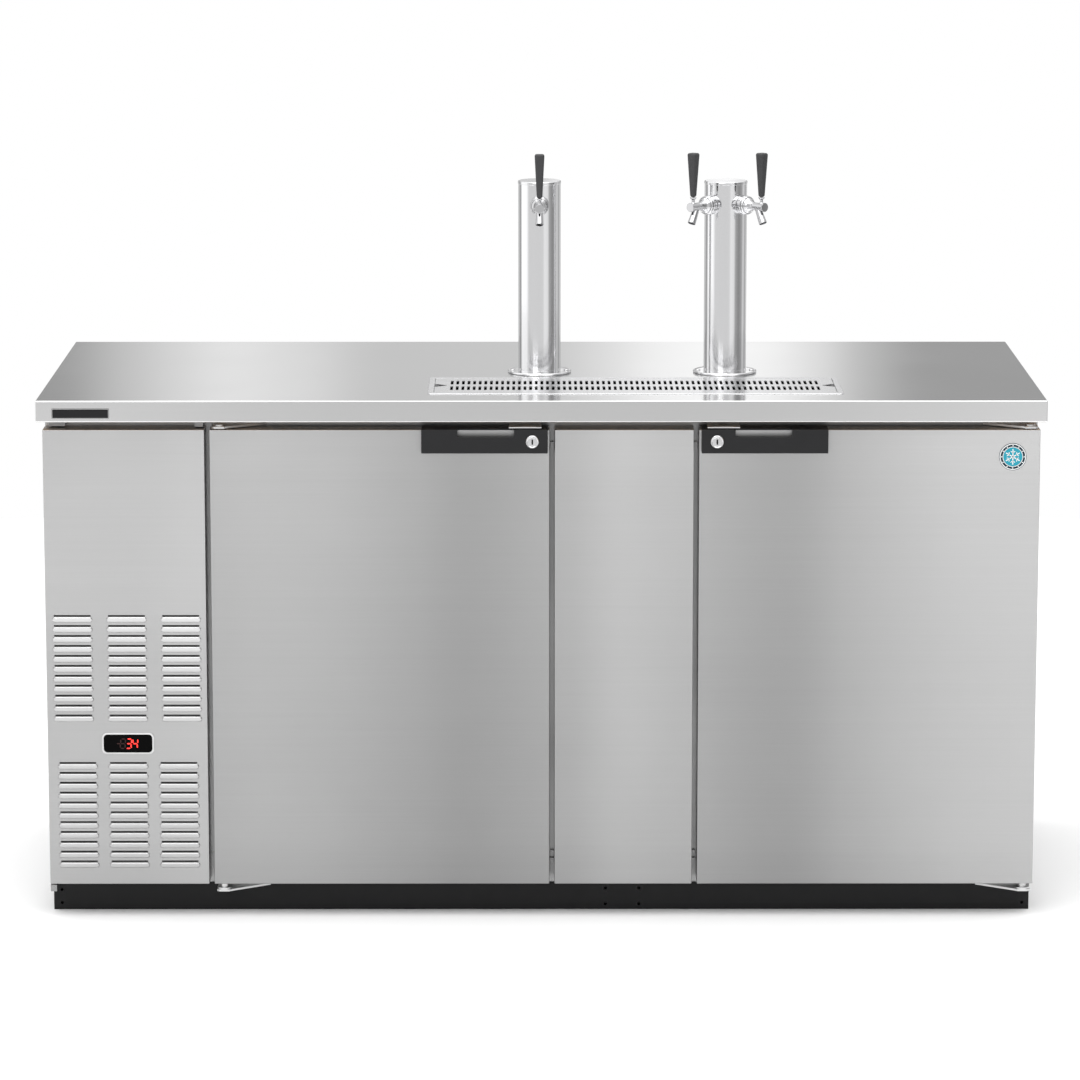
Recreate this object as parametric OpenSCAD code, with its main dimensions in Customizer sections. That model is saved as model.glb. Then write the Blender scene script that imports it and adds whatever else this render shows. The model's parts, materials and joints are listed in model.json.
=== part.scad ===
// Two-door direct-draw kegerator. A refrigerated keg cabinet with its machine
// compartment on the left stands on a black plinth. The worktop holds a recessed
// drip tray, a single-tap tower in the middle and a double-tap tower on the right.
// Millimetres. +Z is up and the doors face -Y. The origin is on the floor, under
// the middle of the worktop.

/* [Worktop] */
// Length of the worktop
top_w = 1765; // [1745:5:1800]
// Depth of the worktop
top_d = 762; // [740:2:780]
// Height of the worktop above the floor
top_h = 930; // [926:1:940]
// Height of the folded edge of the worktop
top_t = 38; // [34:1:40]

/* [Cabinet] */
// Length of the cabinet
body_w = 1746; // [1742:1:1750]
// Height of the plinth
plinth_h = 50; // [46:1:50]
// Height of the underside of the doors above the floor
door_z0 = 59; // [58:1:62]
// Height of the doors
door_h = 817; // [812:1:817]
// Gap between neighbouring doors and panels
panel_gap = 9; // [8:1:10]
// Width of the louvred panel of the machine compartment
machine_w = 283; // [280:1:286]
// Width of the left door
left_door_w = 595; // [592:1:597]
// Width of the right door
right_door_w = 597; // [594:1:599]
// Distance of the door fronts behind the front of the worktop
door_setback = 20; // [18:1:22]
// Distance of the cabinet face behind the door fronts
face_depth = 50; // [49:1:52]

/* [Doors] */
// Thickness of a door without its gasket
door_t = 38; // [36:1:39]
// Distance of the hinge axis from the hinged edge of the door
hinge_inset = 17; // [16:1:18]
// Distance of the hinge axis behind the door front
hinge_depth = 14; // [13:1:15]
// Radius of the hinge pins
hinge_pin_r = 4; // [3:0.5:4.5]
// Length of a door handle
handle_w = 221; // [210:1:230]
// Height of the front plate of a door handle
handle_h = 40; // [38:1:44]

/* [Louvres] */
// Rows of louvres in each block
louvre_rows = 11; // [6:1:11]
// Distance between louvre rows
louvre_pitch = 17.9; // [17:0.1:18]
// Length of one louvre
louvre_w = 71; // [60:1:74]

/* [Drip tray] */
// Length of the drip tray with its trim
tray_w = 732; // [720:2:740]
// Depth of the drip tray with its trim
tray_d = 202; // [196:1:206]
// Middle of the drip tray, right of the middle of the worktop
tray_x = 166; // [160:1:172]
// Slots in each of the two rows of the grate
grate_slots = 66; // [40:1:66]
// Distance between grate slots
slot_pitch = 10; // [9:0.5:10]

/* [Towers] */
// Height of the towers above the worktop
tower_h = 350; // [340:5:380]
// Diameter of the tower columns
tower_dia = 76.2; // [74:0.1:78]
// Distance of the tower axes behind the front of the worktop
tower_setback = 355; // [350:1:365]
// Single tower, from the middle of the worktop
single_x = -3; // [-10:1:10]
// Double tower, from the middle of the worktop
double_x = 333; // [325:1:340]
// Height of the tap axis above the worktop
tap_rise = 308; // [300:1:310]
// Angle of the double tower's taps from straight ahead
tap_angle = 40; // [38:1:45]

/* [Hidden] */
$fn = 64;

// Colours
steel = [0.74, 0.75, 0.76];
bright = [0.86, 0.87, 0.88];
galvanised = [0.62, 0.64, 0.65];
black = [0.10, 0.10, 0.11];
dark_grey = [0.25, 0.25, 0.26];
copper = [0.72, 0.42, 0.28];
cream = [0.90, 0.87, 0.72];

// Sheet thicknesses
sheet = 1.5;
thin = 1.2;
liner_t = 1;

// Planes from front to back
top_y0 = -top_d / 2;
top_y1 = top_d / 2;
door_y = top_y0 + door_setback;
door_back_y = door_y + door_t;
face_y = door_y + face_depth;
back_y = top_y1 - 10;
hinge_y = door_y + hinge_depth;

// Levels
under_z = top_h - top_t;
door_z1 = door_z0 + door_h;
base_z = plinth_h + sheet;
floor_z = 105;
ceiling_z = 842;

// Columns of panels from left to right
body_x = body_w / 2;
louvre_x1 = -body_x + machine_w;
left_x0 = louvre_x1 + panel_gap;
left_x1 = left_x0 + left_door_w;
right_x1 = body_x;
right_x0 = right_x1 - right_door_w;
centre_x0 = left_x1 + panel_gap;
centre_x1 = right_x0 - panel_gap;
left_hinge_x = left_x0 + hinge_inset;
right_hinge_x = right_x1 - hinge_inset;

// Keg compartment and mullion
keg_x0 = -536;
keg_x1 = 829;
keg_y1 = 320;
mullion_x0 = -24;
mullion_x1 = 314;
mullion_y1 = face_y + 49;
wall = 52;

// Holes through the walls for the drain, the gas line and the refrigerant lines
drain_hole_r = 14;
gas_hole_r = 13;
gas_x = 700;
gas_z = 250;
lines_hole_r = 16;

// Gasket
gasket_w = 22;
gasket_hinge_inset = 18;
gasket_latch_inset = 12;
gasket_z_inset = 10;
clear = 0.3;

// Handle and lock, measured from the opening edge of the door
handle_t = 2;
handle_y = door_y - 17;
handle_z0 = door_z1 + 2.4 - handle_h - 2;
handle_inset = 4;
lock_inset = 31;
lock_z = door_z1 - 19;
lock_r = 10.35;
cam_len = 29;
cam_w = 8;
slot_near = 63;
slot_far = 162;
cam_slot = [7, 27];
strike_z = door_z1 + 4.7;

// Drip tray and grate
tray_y = top_y0 + 180;
trim_t = 1.2;
trim_corner = 6;
end_trim_w = 10;
side_trim_w = 16;
grate_gap = 0.7;
grate_w = tray_w - 2 * (end_trim_w + grate_gap);
grate_d = tray_d - 2 * (side_trim_w + grate_gap);
grate_z = top_h - 1;
ledge = 8;
basin_h = 25;
tray_wall = 1.2;
plate_gap = 0.05;
slot_len = 45;
slot_w = 5;
row_gap = 68;
outlet_r = 8;
strainer_r = 4.9;
strainer_hole_r = 1.8;
hose_r = 10;
hose_z = 822;
stub_r = 9.2;
plate_proud = 1.2;
drain_end_y = top_y1 + plate_proud;

// Towers
tower_r = tower_dia / 2;
tower_y = top_y0 + tower_setback;
tower_xs = [single_x, double_x];
tower_wall = 1.5;
cap_h = 12;
flange_r = 57.5;
flange_t = 4;
screw_circle_r = 48.5;
tower_hole_r = 30;

// Taps: the tower's place and the direction of each tap, and distances from the
// column axis along the tap
taps = [[single_x, 0], [double_x, -tap_angle], [double_x, tap_angle]];
tap_z = top_h + tap_rise;
lever_r = 95;
pivot_rise = 5;
shank_r = 8;
nut_r = 17.3;
tap_bore_r = 4.2;
ball_r = 4.4;
lever_tip = 6.2;
spout_at = 84;
spout_lean = 28;
handle_rise = 18;
handle_len = 79;

// Machine compartment
condenser_x = -731;
condenser_z = 205;
condenser_w = 254;
condenser_h = 270;
condenser_y0 = face_y + 11;
condenser_t = 44;
fan_r = 98;
ring_r = 110;
fan_y = condenser_y0 + condenser_t + 20;

// Evaporator on the partition wall
evap_y = 50;
evap_z = 670;
evap_w = 340;
evap_h = 300;
evap_depth = 125;
evap_fan_r = 82;
lines_y = evap_y + 80;
lines_z = evap_z + 60;

// ---------- helpers ----------

// A block between two opposite corners
module block(lo, hi) {
  translate(lo) cube(hi - lo);
}

// Round rods along X and Y
module rod_x(x0, x1, y, z, r) {
  translate([x0, y, z]) rotate([0, 90, 0]) cylinder(r = r, h = x1 - x0);
}
module rod_y(x, y0, y1, z, r) {
  translate([x, y0, z]) rotate([-90, 0, 0]) cylinder(r = r, h = y1 - y0);
}
module rod_z(x, y, z0, z1, r) {
  translate([x, y, z0]) cylinder(r = r, h = z1 - z0);
}

// A box around the middle of the drip tray
module centred_box(w, d, z0, z1) {
  translate([tray_x - w / 2, tray_y - d / 2, z0]) cube([w, d, z1 - z0]);
}

// A flat slot with round ends, and a rectangle with round corners
module slot_shape(length, width) {
  square([length - width, width], center = true);
  for (s = [-1, 1]) translate([s * (length - width) / 2, 0]) circle(d = width);
}
module round_rect(size, r) {
  square([size[0] - 2 * r, size[1]], center = true);
  square([size[0], size[1] - 2 * r], center = true);
  for (sx = [-1, 1], sy = [-1, 1])
    translate([sx * (size[0] / 2 - r), sy * (size[1] / 2 - r)]) circle(r = r);
}

// Turns a flat shape drawn in X and Z to stand in the plane y, thickened towards +Y
module upright(y, t) {
  translate([0, y + t, 0]) rotate([90, 0, 0]) linear_extrude(t) children();
}

// A tube of straight runs through a list of points, with a slightly fuller ball at
// each elbow
elbow_extra = 0.4;
module pipe(points, r) {
  for (i = [0 : len(points) - 2]) {
    d = points[i + 1] - points[i];
    length = norm(d);
    translate(points[i])
      rotate([0, acos(d[2] / length), atan2(d[1], d[0])])
        cylinder(r = r, h = length);
  }
  for (i = [1 : len(points) - 2]) translate(points[i]) sphere(r = r + elbow_extra);
}

// Puts a tap's own frame in place: its axis runs towards local -Y
module at_tap(i) {
  translate([taps[i][0], tower_y, tap_z]) rotate([0, 0, taps[i][1]]) children();
}

// Turns a profile of [radius, distance] points about a tap's axis
module tap_turned(profile) {
  rotate([90, 0, 0]) rotate_extrude() polygon(profile);
}

// ---------- plinth and carcass ----------

caster_plate = [90, 80, 4];
caster_holes = [60, 50];
caster_hole_r = 4.5;
plinth_hole_r = 2.75;
plinth_holes_x = 144.5;
plinth_holes = [60, 29];
rail_d = 31;

module plinth_rail(y0, y1, web_y0, web_y1) {
  difference() {
    block([-body_x + 1, y0, 0], [body_x - 1, y1, plinth_h]);
    block([-body_x, web_y0, 2], [body_x, web_y1, plinth_h - 2]);
    if (y0 < 0) {
      for (sx = [-1, 1], sz = [-1, 1])
        rod_y(plinth_holes_x + sx * plinth_holes[0] / 2, y0 - 1, y0 + 3,
              24 + sz * plinth_holes[1] / 2, plinth_hole_r);
      for (x = [-857.5, 860], z = [12, 36]) rod_y(x, y0 - 1, y0 + 3, z, plinth_hole_r);
    }
  }
}

module plinth_frame() color(black) {
  plinth_rail(face_y, face_y + rail_d, face_y + 2, face_y + rail_d + 1);
  plinth_rail(back_y - rail_d, back_y, back_y - rail_d - 1, back_y - 2);
  side_y0 = face_y + rail_d + 0.5;
  side_y1 = back_y - rail_d - 0.5;
  for (s = [-1, 1]) scale([s, 1, 1])
    difference() {
      block([body_x - 1 - rail_d, side_y0, 0], [body_x - 1, side_y1, plinth_h]);
      block([body_x - 2 - rail_d, side_y0 - 1, 2], [body_x - 3, side_y1 + 1, plinth_h - 2]);
    }
  for (sx = [-1, 1], fy = [0, 1]) {
    cx = sx * (body_x - 1 - rail_d - 1 - caster_plate[0] / 2);
    cy = fy == 0 ? side_y0 + caster_plate[1] / 2 : side_y1 - caster_plate[1] / 2;
    translate([cx, cy, 0])
      difference() {
        translate([-caster_plate[0] / 2, -caster_plate[1] / 2, 0]) cube(caster_plate);
        for (hx = [-1, 1], hy = [-1, 1])
          translate([hx * caster_holes[0] / 2, hy * caster_holes[1] / 2, -1])
            cylinder(r = caster_hole_r, h = caster_plate[2] + 2);
      }
  }
}

module base_pan() color(galvanised) {
  block([-body_x + 2, face_y + 2.5, plinth_h], [body_x - 2, back_y - 2, base_z]);
}

// A side panel with a narrow return on the cabinet face
module side_panel() {
  difference() {
    block([body_x - 13, face_y, plinth_h], [body_x, back_y, under_z]);
    block([body_x - 14, face_y + sheet, plinth_h - 1], [body_x - sheet, back_y + 1, under_z + 1]);
  }
}
module side_panel_left() color(steel) mirror([1, 0, 0]) side_panel();
module side_panel_right() color(steel) side_panel();

gland_x = -640;
gland_z = 470;
gland_hole_r = 9;
vent_w = 210;
vent_h = 8;
vent_pitch = 20;
vent_rows = 16;

module back_panel() color(galvanised) {
  difference() {
    block([-body_x + 2, back_y - sheet, plinth_h + 0.5], [body_x - 2, back_y, under_z - 1]);
    for (i = [0 : vent_rows - 1])
      translate([condenser_x, 0, 110 + i * vent_pitch])
        upright(back_y - sheet - 1, sheet + 2) slot_shape(vent_w, vent_h);
    rod_y(tray_x, back_y - 3, back_y + 1, hose_z, hose_r + 1);
    rod_y(gas_x, back_y - 3, back_y + 1, gas_z, gas_hole_r);
    rod_y(gland_x, back_y - 3, back_y + 1, gland_z, gland_hole_r);
  }
}

// Foam slabs that fill the walls, floor, ceiling and mullion
module insulation_foam() color(cream) {
  foam_x0 = keg_x0 - liner_t - wall;
  foam_x1 = body_x - 2;
  foam_y0 = face_y + 2;
  foam_y1 = back_y - 2;
  block([foam_x0, foam_y0, base_z + 0.2], [foam_x1, foam_y1, floor_z - liner_t]);
  difference() {
    block([foam_x0, foam_y0, ceiling_z + liner_t], [foam_x1, foam_y1, under_z - 3]);
    rod_z(tray_x, tray_y, ceiling_z, under_z, drain_hole_r);
    for (x = tower_xs) rod_z(x, tower_y, ceiling_z, under_z, tower_hole_r);
  }
  wall_z0 = floor_z - 0.5;
  wall_z1 = ceiling_z + 0.5;
  difference() {
    block([keg_x0, keg_y1 + liner_t, wall_z0], [keg_x1 + 0.5, foam_y1, wall_z1]);
    rod_y(tray_x, keg_y1, foam_y1 + 1, hose_z, drain_hole_r);
    rod_y(gas_x, keg_y1, foam_y1 + 1, gas_z, gas_hole_r);
  }
  difference() {
    block([foam_x0, foam_y0, wall_z0], [keg_x0 - liner_t, foam_y1, wall_z1]);
    rod_x(foam_x0 - 1, keg_x0 + 1, lines_y, lines_z, lines_hole_r);
  }
  block([keg_x1 + liner_t, foam_y0, wall_z0], [foam_x1, foam_y1, wall_z1]);
  block([mullion_x0 + liner_t, foam_y0, floor_z + 0.3],
        [mullion_x1 - liner_t, mullion_y1 - liner_t, ceiling_z - 0.3]);
}

// Thin inner sheets over the foam
module interior_liner() color(bright) {
  y0 = face_y + 2;
  z0 = floor_z + 0.3;
  z1 = ceiling_z - 0.3;
  block([keg_x0 - 0.5, y0, floor_z - liner_t], [keg_x1 + 0.5, keg_y1 + 0.5, floor_z]);
  difference() {
    block([keg_x0 - 0.5, y0, ceiling_z], [keg_x1 + 0.5, keg_y1 + 0.5, ceiling_z + liner_t]);
    rod_z(tray_x, tray_y, ceiling_z - 1, ceiling_z + 2, drain_hole_r);
    for (x = tower_xs) rod_z(x, tower_y, ceiling_z - 1, ceiling_z + 2, tower_hole_r);
  }
  difference() {
    block([keg_x0, keg_y1, z0], [keg_x1, keg_y1 + liner_t, z1]);
    rod_y(tray_x, keg_y1 - 1, keg_y1 + 2, hose_z, drain_hole_r);
    rod_y(gas_x, keg_y1 - 1, keg_y1 + 2, gas_z, gas_hole_r);
  }
  difference() {
    block([keg_x0 - liner_t, y0, z0], [keg_x0, keg_y1 - 0.3, z1]);
    rod_x(keg_x0 - 2, keg_x0 + 1, lines_y, lines_z, lines_hole_r);
  }
  block([keg_x1, y0, z0], [keg_x1 + liner_t, keg_y1 - 0.3, z1]);
  block([mullion_x0, y0, z0], [mullion_x0 + liner_t, mullion_y1, z1]);
  block([mullion_x1 - liner_t, y0, z0], [mullion_x1, mullion_y1, z1]);
  block([mullion_x0 + liner_t + 0.3, mullion_y1 - liner_t, z0],
        [mullion_x1 - liner_t - 0.3, mullion_y1, z1]);
}

// Strips around the openings, with the small clips seen in the gaps
module face_frame() color(steel) {
  x1 = body_x - 13.5;
  y1 = face_y + sheet;
  block([-x1, face_y, ceiling_z], [x1, y1, under_z - 0.5]);
  block([-x1, face_y, base_z], [x1, y1, floor_z]);
  z0 = floor_z + 0.5;
  z1 = ceiling_z - 0.5;
  block([-x1, face_y, z0], [-x1 + 12, y1, z1]);
  block([keg_x0 - 64, face_y, z0], [keg_x0, y1, z1]);
  block([mullion_x0, face_y, z0], [mullion_x1, y1, z1]);
  block([keg_x1, face_y, z0], [x1, y1, z1]);
  clip_y0 = face_y - 7;
  for (x0 = [left_x1 + 1.6, centre_x1 + 0.6], z = [[834, 848], [103, 110], [86, 96]])
    block([x0, clip_y0, z[0]], [x0 + panel_gap - 2.2, face_y - 0.2, z[1]]);
  block([-body_x + 9, face_y - 22, door_z1 + 2], [-body_x + 38, face_y - 0.2, under_z - 4]);
  block([louvre_x1 - 18, face_y - 30, door_z1 + 2], [louvre_x1 - 3, face_y - 0.2, under_z - 6]);
  block([-body_x, face_y - 44, plinth_h - 6], [-body_x + 11, face_y - 0.2, door_z0 - 3]);
}

// A box-shaped cover, open at the back
module cover_panel(x0, x1) {
  difference() {
    block([x0, door_y, door_z0], [x1, face_y - 0.5, door_z1]);
    block([x0 + thin, door_y + thin, door_z0 + thin], [x1 - thin, face_y, door_z1 - thin]);
  }
}
module centre_panel() color(steel) cover_panel(centre_x0, centre_x1);

louvre_blocks = [[-730.5, 95.5, 546], [-731, 89.5, 281]];
louvre_columns = [-1, 0, 1];
louvre_gap = 2.6;
louvre_h = 13;
louvre_out = 4.2;
display_x = -731;
display_z = 315;
lens_size = [85.5, 32];
bezel_size = [92, 38];

// One hood: a wedge that stands proud at its top edge, under the open gap
module louvre_hood() {
  translate([-louvre_w / 2, 0, 0]) rotate([90, 0, 90]) linear_extrude(louvre_w)
    polygon([[0.5, -louvre_h], [0, -louvre_h], [-louvre_out, -louvre_gap - 2.5],
             [-louvre_out, -louvre_gap], [0.5, -louvre_gap]]);
}

module louvre_panel() color(steel) {
  difference() {
    cover_panel(-body_x, louvre_x1);
    for (b = louvre_blocks, c = louvre_columns, i = [0 : louvre_rows - 1])
      translate([b[0] + c * b[1], door_y, b[2] - i * louvre_pitch - louvre_gap / 2])
        cube([louvre_w - 6, 4, louvre_gap], center = true);
    translate([display_x, 0, display_z])
      upright(door_y - 1, thin + 2) round_rect([lens_size[0] + 1, lens_size[1] + 1], 6);
  }
  for (b = louvre_blocks, c = louvre_columns, i = [0 : louvre_rows - 1])
    translate([b[0] + c * b[1], door_y, b[2] - i * louvre_pitch]) louvre_hood();
}

module display_bezel() color(bright)
  translate([display_x, 0, display_z]) upright(door_y - 2.2, 2)
    difference() {
      round_rect(bezel_size, 8);
      round_rect([lens_size[0] + 0.6, lens_size[1] + 0.6], 7);
    }

module display_lens() color(black)
  translate([display_x, 0, display_z]) upright(door_y - 3, 8) round_rect(lens_size, 7 - 0.3);

// The controller behind the lens and the electrical box above the condenser
module control_box() color(dark_grey) {
  block([display_x - 38, door_y + 6, display_z - 14], [display_x + 38, face_y + 4, display_z + 14]);
  block([display_x - 80, face_y + 8, 400], [display_x + 80, face_y + 88, 620]);
  block([display_x - 82, face_y + 4, 398], [display_x + 82, face_y + 7.5, 622]);
}

// ---------- worktop ----------

cut_w = tray_w - 2 * end_trim_w + 4;
cut_d = tray_d - 2 * side_trim_w + 4;

module worktop_skin() color(steel) {
  difference() {
    block([-top_w / 2, top_y0, under_z], [top_w / 2, top_y1, top_h]);
    block([-top_w / 2 + sheet, top_y0 + sheet, under_z - 1],
          [top_w / 2 - sheet, top_y1 - sheet, top_h - sheet]);
    translate([tray_x - cut_w / 2, tray_y - cut_d / 2, top_h - 5]) cube([cut_w, cut_d, 10]);
    for (x = tower_xs) rod_z(x, tower_y, top_h - 5, top_h + 5, tower_hole_r);
  }
}

// The stiffening board under the sheet, in four pieces around the drip tray
module worktop_core() color([0.55, 0.42, 0.28]) {
  x1 = top_w / 2 - sheet - 0.3;
  y0 = top_y0 + sheet + 0.3;
  y1 = top_y1 - sheet - 0.3;
  z1 = top_h - sheet;
  cx0 = tray_x - cut_w / 2 - 1;
  cx1 = tray_x + cut_w / 2 + 1;
  cy0 = tray_y - cut_d / 2 - 1;
  cy1 = tray_y + cut_d / 2 + 1;
  block([-x1, y0, under_z], [x1, cy0, z1]);
  difference() {
    block([-x1, cy1, under_z], [x1, y1, z1]);
    for (x = tower_xs) rod_z(x, tower_y, under_z - 1, top_h, tower_hole_r);
  }
  block([-x1, cy0 + 0.5, under_z], [cx0, cy1 - 0.5, z1]);
  block([cx1, cy0 + 0.5, under_z], [x1, cy1 - 0.5, z1]);
}

// A shallow basin with a flat trim and an inner ledge for the grate, closed below
// by a floor plate with a strainer
module drip_tray() color(bright) {
  open_w = grate_w + 2 * grate_gap;
  open_d = grate_d + 2 * grate_gap;
  floor_top = top_h - basin_h + tray_wall;
  side_z0 = floor_top + plate_gap;
  difference() {
    union() {
      translate([tray_x, tray_y, top_h])
        linear_extrude(trim_t) round_rect([tray_w, tray_d], trim_corner);
      centred_box(open_w + 2 * tray_wall, open_d + 2 * tray_wall, side_z0, top_h + trim_t);
    }
    centred_box(open_w, open_d, grate_z, top_h + trim_t + 1);
    centred_box(open_w - 2 * ledge, open_d - 2 * ledge, grate_z - tray_wall - 1, grate_z + 1);
    centred_box(open_w, open_d, side_z0 - 1, grate_z - tray_wall);
  }
  difference() {
    centred_box(open_w + 2 * tray_wall, open_d + 2 * tray_wall, top_h - basin_h, floor_top);
    rod_z(tray_x, tray_y, top_h - basin_h - 1, floor_top + 1, strainer_hole_r);
    for (a = [0 : 60 : 300])
      rod_z(tray_x + strainer_r * cos(a), tray_y + strainer_r * sin(a),
            top_h - basin_h - 1, floor_top + 1, strainer_hole_r);
  }
}

finger_len = 21;
finger_w = 34;

// The lift-out grate, with a finger notch in each end
module drip_grate() color(bright)
  translate([tray_x, tray_y, grate_z]) linear_extrude(2) difference() {
    square([grate_w, grate_d], center = true);
    for (i = [0 : grate_slots - 1], s = [-1, 1])
      translate([(i - (grate_slots - 1) / 2) * slot_pitch, s * row_gap / 2])
        rotate(90) slot_shape(slot_len, slot_w);
    for (s = [-1, 1])
      polygon([[s * (grate_w / 2 + 1), -finger_w / 2], [s * (grate_w / 2 - 4), -finger_w / 2],
               [s * (grate_w / 2 - finger_len), -2], [s * (grate_w / 2 - finger_len), 2],
               [s * (grate_w / 2 - 4), finger_w / 2], [s * (grate_w / 2 + 1), finger_w / 2]]);
  }

// The drain pipe falls through the ceiling and leaves through the back as a stub
module drip_drain_tube() color([0.80, 0.82, 0.83]) {
  top_z = top_h - basin_h;
  difference() {
    union() {
      rod_z(tray_x, tray_y, hose_z, top_z, hose_r);
      translate([tray_x, tray_y, hose_z]) sphere(r = hose_r);
      rod_y(tray_x, tray_y, back_y + 0.5, hose_z, hose_r);
      rod_y(tray_x, tray_y, drain_end_y, hose_z, stub_r);
    }
    rod_z(tray_x, tray_y, hose_z, top_z + 1, outlet_r);
    translate([tray_x, tray_y, hose_z]) sphere(r = outlet_r);
    rod_y(tray_x, tray_y, drain_end_y + 2, hose_z, outlet_r);
  }
}

// ---------- towers and taps ----------

column_z0 = top_h + flange_t;
column_z1 = top_h + tower_h - cap_h;

module tower_column(x, first, last) {
  difference() {
    rod_z(x, tower_y, column_z0, column_z1, tower_r);
    rod_z(x, tower_y, column_z0 - 1, column_z1 + 1, tower_r - tower_wall);
    for (i = [first : last])
      at_tap(i) rod_y(0, -tower_r - 5, -tower_r + 8, 0, shank_r + 0.3);
  }
}
module tower_columns() color(bright) {
  tower_column(single_x, 0, 0);
  tower_column(double_x, 1, 2);
}

// Caps with a plug that sits inside the column
module tower_caps() color(bright)
  for (x = tower_xs) translate([x, tower_y, column_z1]) rotate_extrude()
    polygon([[0, -10], [tower_r - tower_wall - 0.2, -10], [tower_r - tower_wall - 0.2, 0],
             [tower_r + 0.7, 0], [tower_r + 1.3, cap_h - 2.5], [tower_r - 1, cap_h - 0.8], [0, cap_h]]);

module tower_flanges() color(bright)
  for (x = tower_xs) translate([x, tower_y, top_h]) difference() {
    union() {
      cylinder(r = flange_r - 2, h = flange_t - 0.5);
      rotate_extrude() translate([flange_r - 2.2, 2.2]) circle(r = 2.2);
      cylinder(r = tower_r + 2.6, h = flange_t + 4);
    }
    translate([0, 0, -1]) cylinder(r = tower_hole_r, h = flange_t + 6);
    translate([0, 0, flange_t]) cylinder(r = tower_r + 0.1, h = 10);
    for (a = [0 : 90 : 270]) rotate(a) translate([screw_circle_r, 0, -1]) cylinder(r = 2.4, h = 10);
  }

module tower_screws() color(bright)
  for (x = tower_xs, a = [0 : 90 : 270])
    translate([x, tower_y, top_h]) rotate(a) translate([screw_circle_r, 0, 0]) {
      translate([0, 0, flange_t - 0.5]) cylinder(r = 4.4, h = 2.2);
      cylinder(r = 2.3, h = flange_t);
    }

// Beer tubes from the shanks down to a hose nut under the cabinet ceiling
module beer_tubes() color([0.88, 0.90, 0.86])
  for (i = [0 : len(taps) - 1]) at_tap(i) {
    drop = 812 - tap_z;
    pipe([[0, -26, 0], [0, -19, 0], [0, -19, drop]], 5);
    translate([0, -19, drop - 4]) cylinder(r = 9, h = 12, $fn = 6);
    translate([0, -19, drop - 18]) cylinder(r = 4, h = 16);
  }

// Threaded shank, saddle flange against the column and the ringed coupling nut
module tap_shanks() color(bright)
  for (i = [0 : len(taps) - 1]) at_tap(i) {
    difference() {
      union() {
        tap_turned([[0, 22], [shank_r, 22], [shank_r, 54], [0, 54]]);
        tap_turned([[0, 34], [nut_r, 34], [nut_r, 44.5], [nut_r - 1.5, 45.5], [0, 45.5]]);
      }
      translate([0, 0, -30]) cylinder(r = tower_r + 0.2, h = 60);
      tap_turned([[0, 20], [3.5, 20], [3.5, 60], [0, 60]]);
    }
    difference() {
      tap_turned([[0, 26], [shank_r - 0.2, 26], [shank_r - 0.2, tower_r + 0.1], [0, tower_r + 0.1]]);
      tap_turned([[0, 10], [3.5, 10], [3.5, 60], [0, 60]]);
    }
    tap_turned([[shank_r + 0.2, 46], [nut_r - 1.5, 46], [nut_r, 47], [nut_r, 54], [nut_r - 1.5, 55.5],
                [nut_r - 1.5, 56.5], [nut_r - 0.6, 57.5], [nut_r - 2, 61], [14.6, 61], [14.6, 55],
                [shank_r + 0.2, 55]]);
  }

// Turns +Z to run down the spout from the tap's axis
module along_spout() {
  translate([0, -spout_at, 0]) rotate([-spout_lean, 0, 0]) mirror([0, 0, 1]) children();
}

// The faucet: a stepped cone, a slim barrel with its end cap, the spout that
// leans forward, and the collar that holds the lever's ball
module faucet_bodies() color(bright)
  for (i = [0 : len(taps) - 1]) at_tap(i) difference() {
    union() {
      tap_turned([[0, 55.5], [14.2, 55.5], [14.2, 62.5], [13, 64], [8.6, 72], [7.2, 76],
                  [7.2, 101.6], [8.2, 101.9], [8.2, 103.5], [7.6, 104], [0, 104]]);
      translate([0, -lever_r, 0]) cylinder(r = 7, h = pivot_rise + 2.5);
      along_spout() cylinder(r1 = 5.6, r2 = 7.2, h = 33);
    }
    tap_turned([[0, 50], [7.2, 50], [7.2, 64], [tap_bore_r, 66], [tap_bore_r, 101], [0, 101]]);
    translate([0, -lever_r, pivot_rise]) sphere(r = ball_r + 0.05);
    translate([0, -lever_r, pivot_rise]) cylinder(r1 = ball_r, r2 = 6.1, h = 2.6);
    along_spout() cylinder(r1 = 3.6, r2 = 6.0, h = 34);
  }

module tap_lever(i) color(bright) at_tap(i) translate([0, -lever_r, pivot_rise]) {
  sphere(r = ball_r);
  translate([0, 0, -lever_tip]) cylinder(r = 1.7, h = lever_tip);
  rotate_extrude() polygon([[0, 3], [2.7, 3], [2.7, 8], [3.8, 9], [5.7, 11.5], [5.7, 12.7],
                            [0, 12.7]]);
}
module tap_lever_1() tap_lever(0);
module tap_lever_2() tap_lever(1);
module tap_lever_3() tap_lever(2);

// A tapered square handle with rounded edges
module tap_handle(i) color(dark_grey) at_tap(i)
  translate([0, -lever_r, handle_rise]) {
    w0 = 10.4;
    w1 = 18.6;
    r = 2.2;
    hull() for (sx = [-1, 1], sy = [-1, 1]) {
      translate([sx * (w0 / 2 - r), sy * (w0 / 2 - r), 0]) cylinder(r = r, h = 1, $fn = 20);
      translate([sx * (w1 / 2 - r), sy * (w1 / 2 - r), handle_len - r]) sphere(r = r, $fn = 20);
    }
  }
module tap_handle_1() tap_handle(0);
module tap_handle_2() tap_handle(1);
module tap_handle_3() tap_handle(2);

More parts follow.
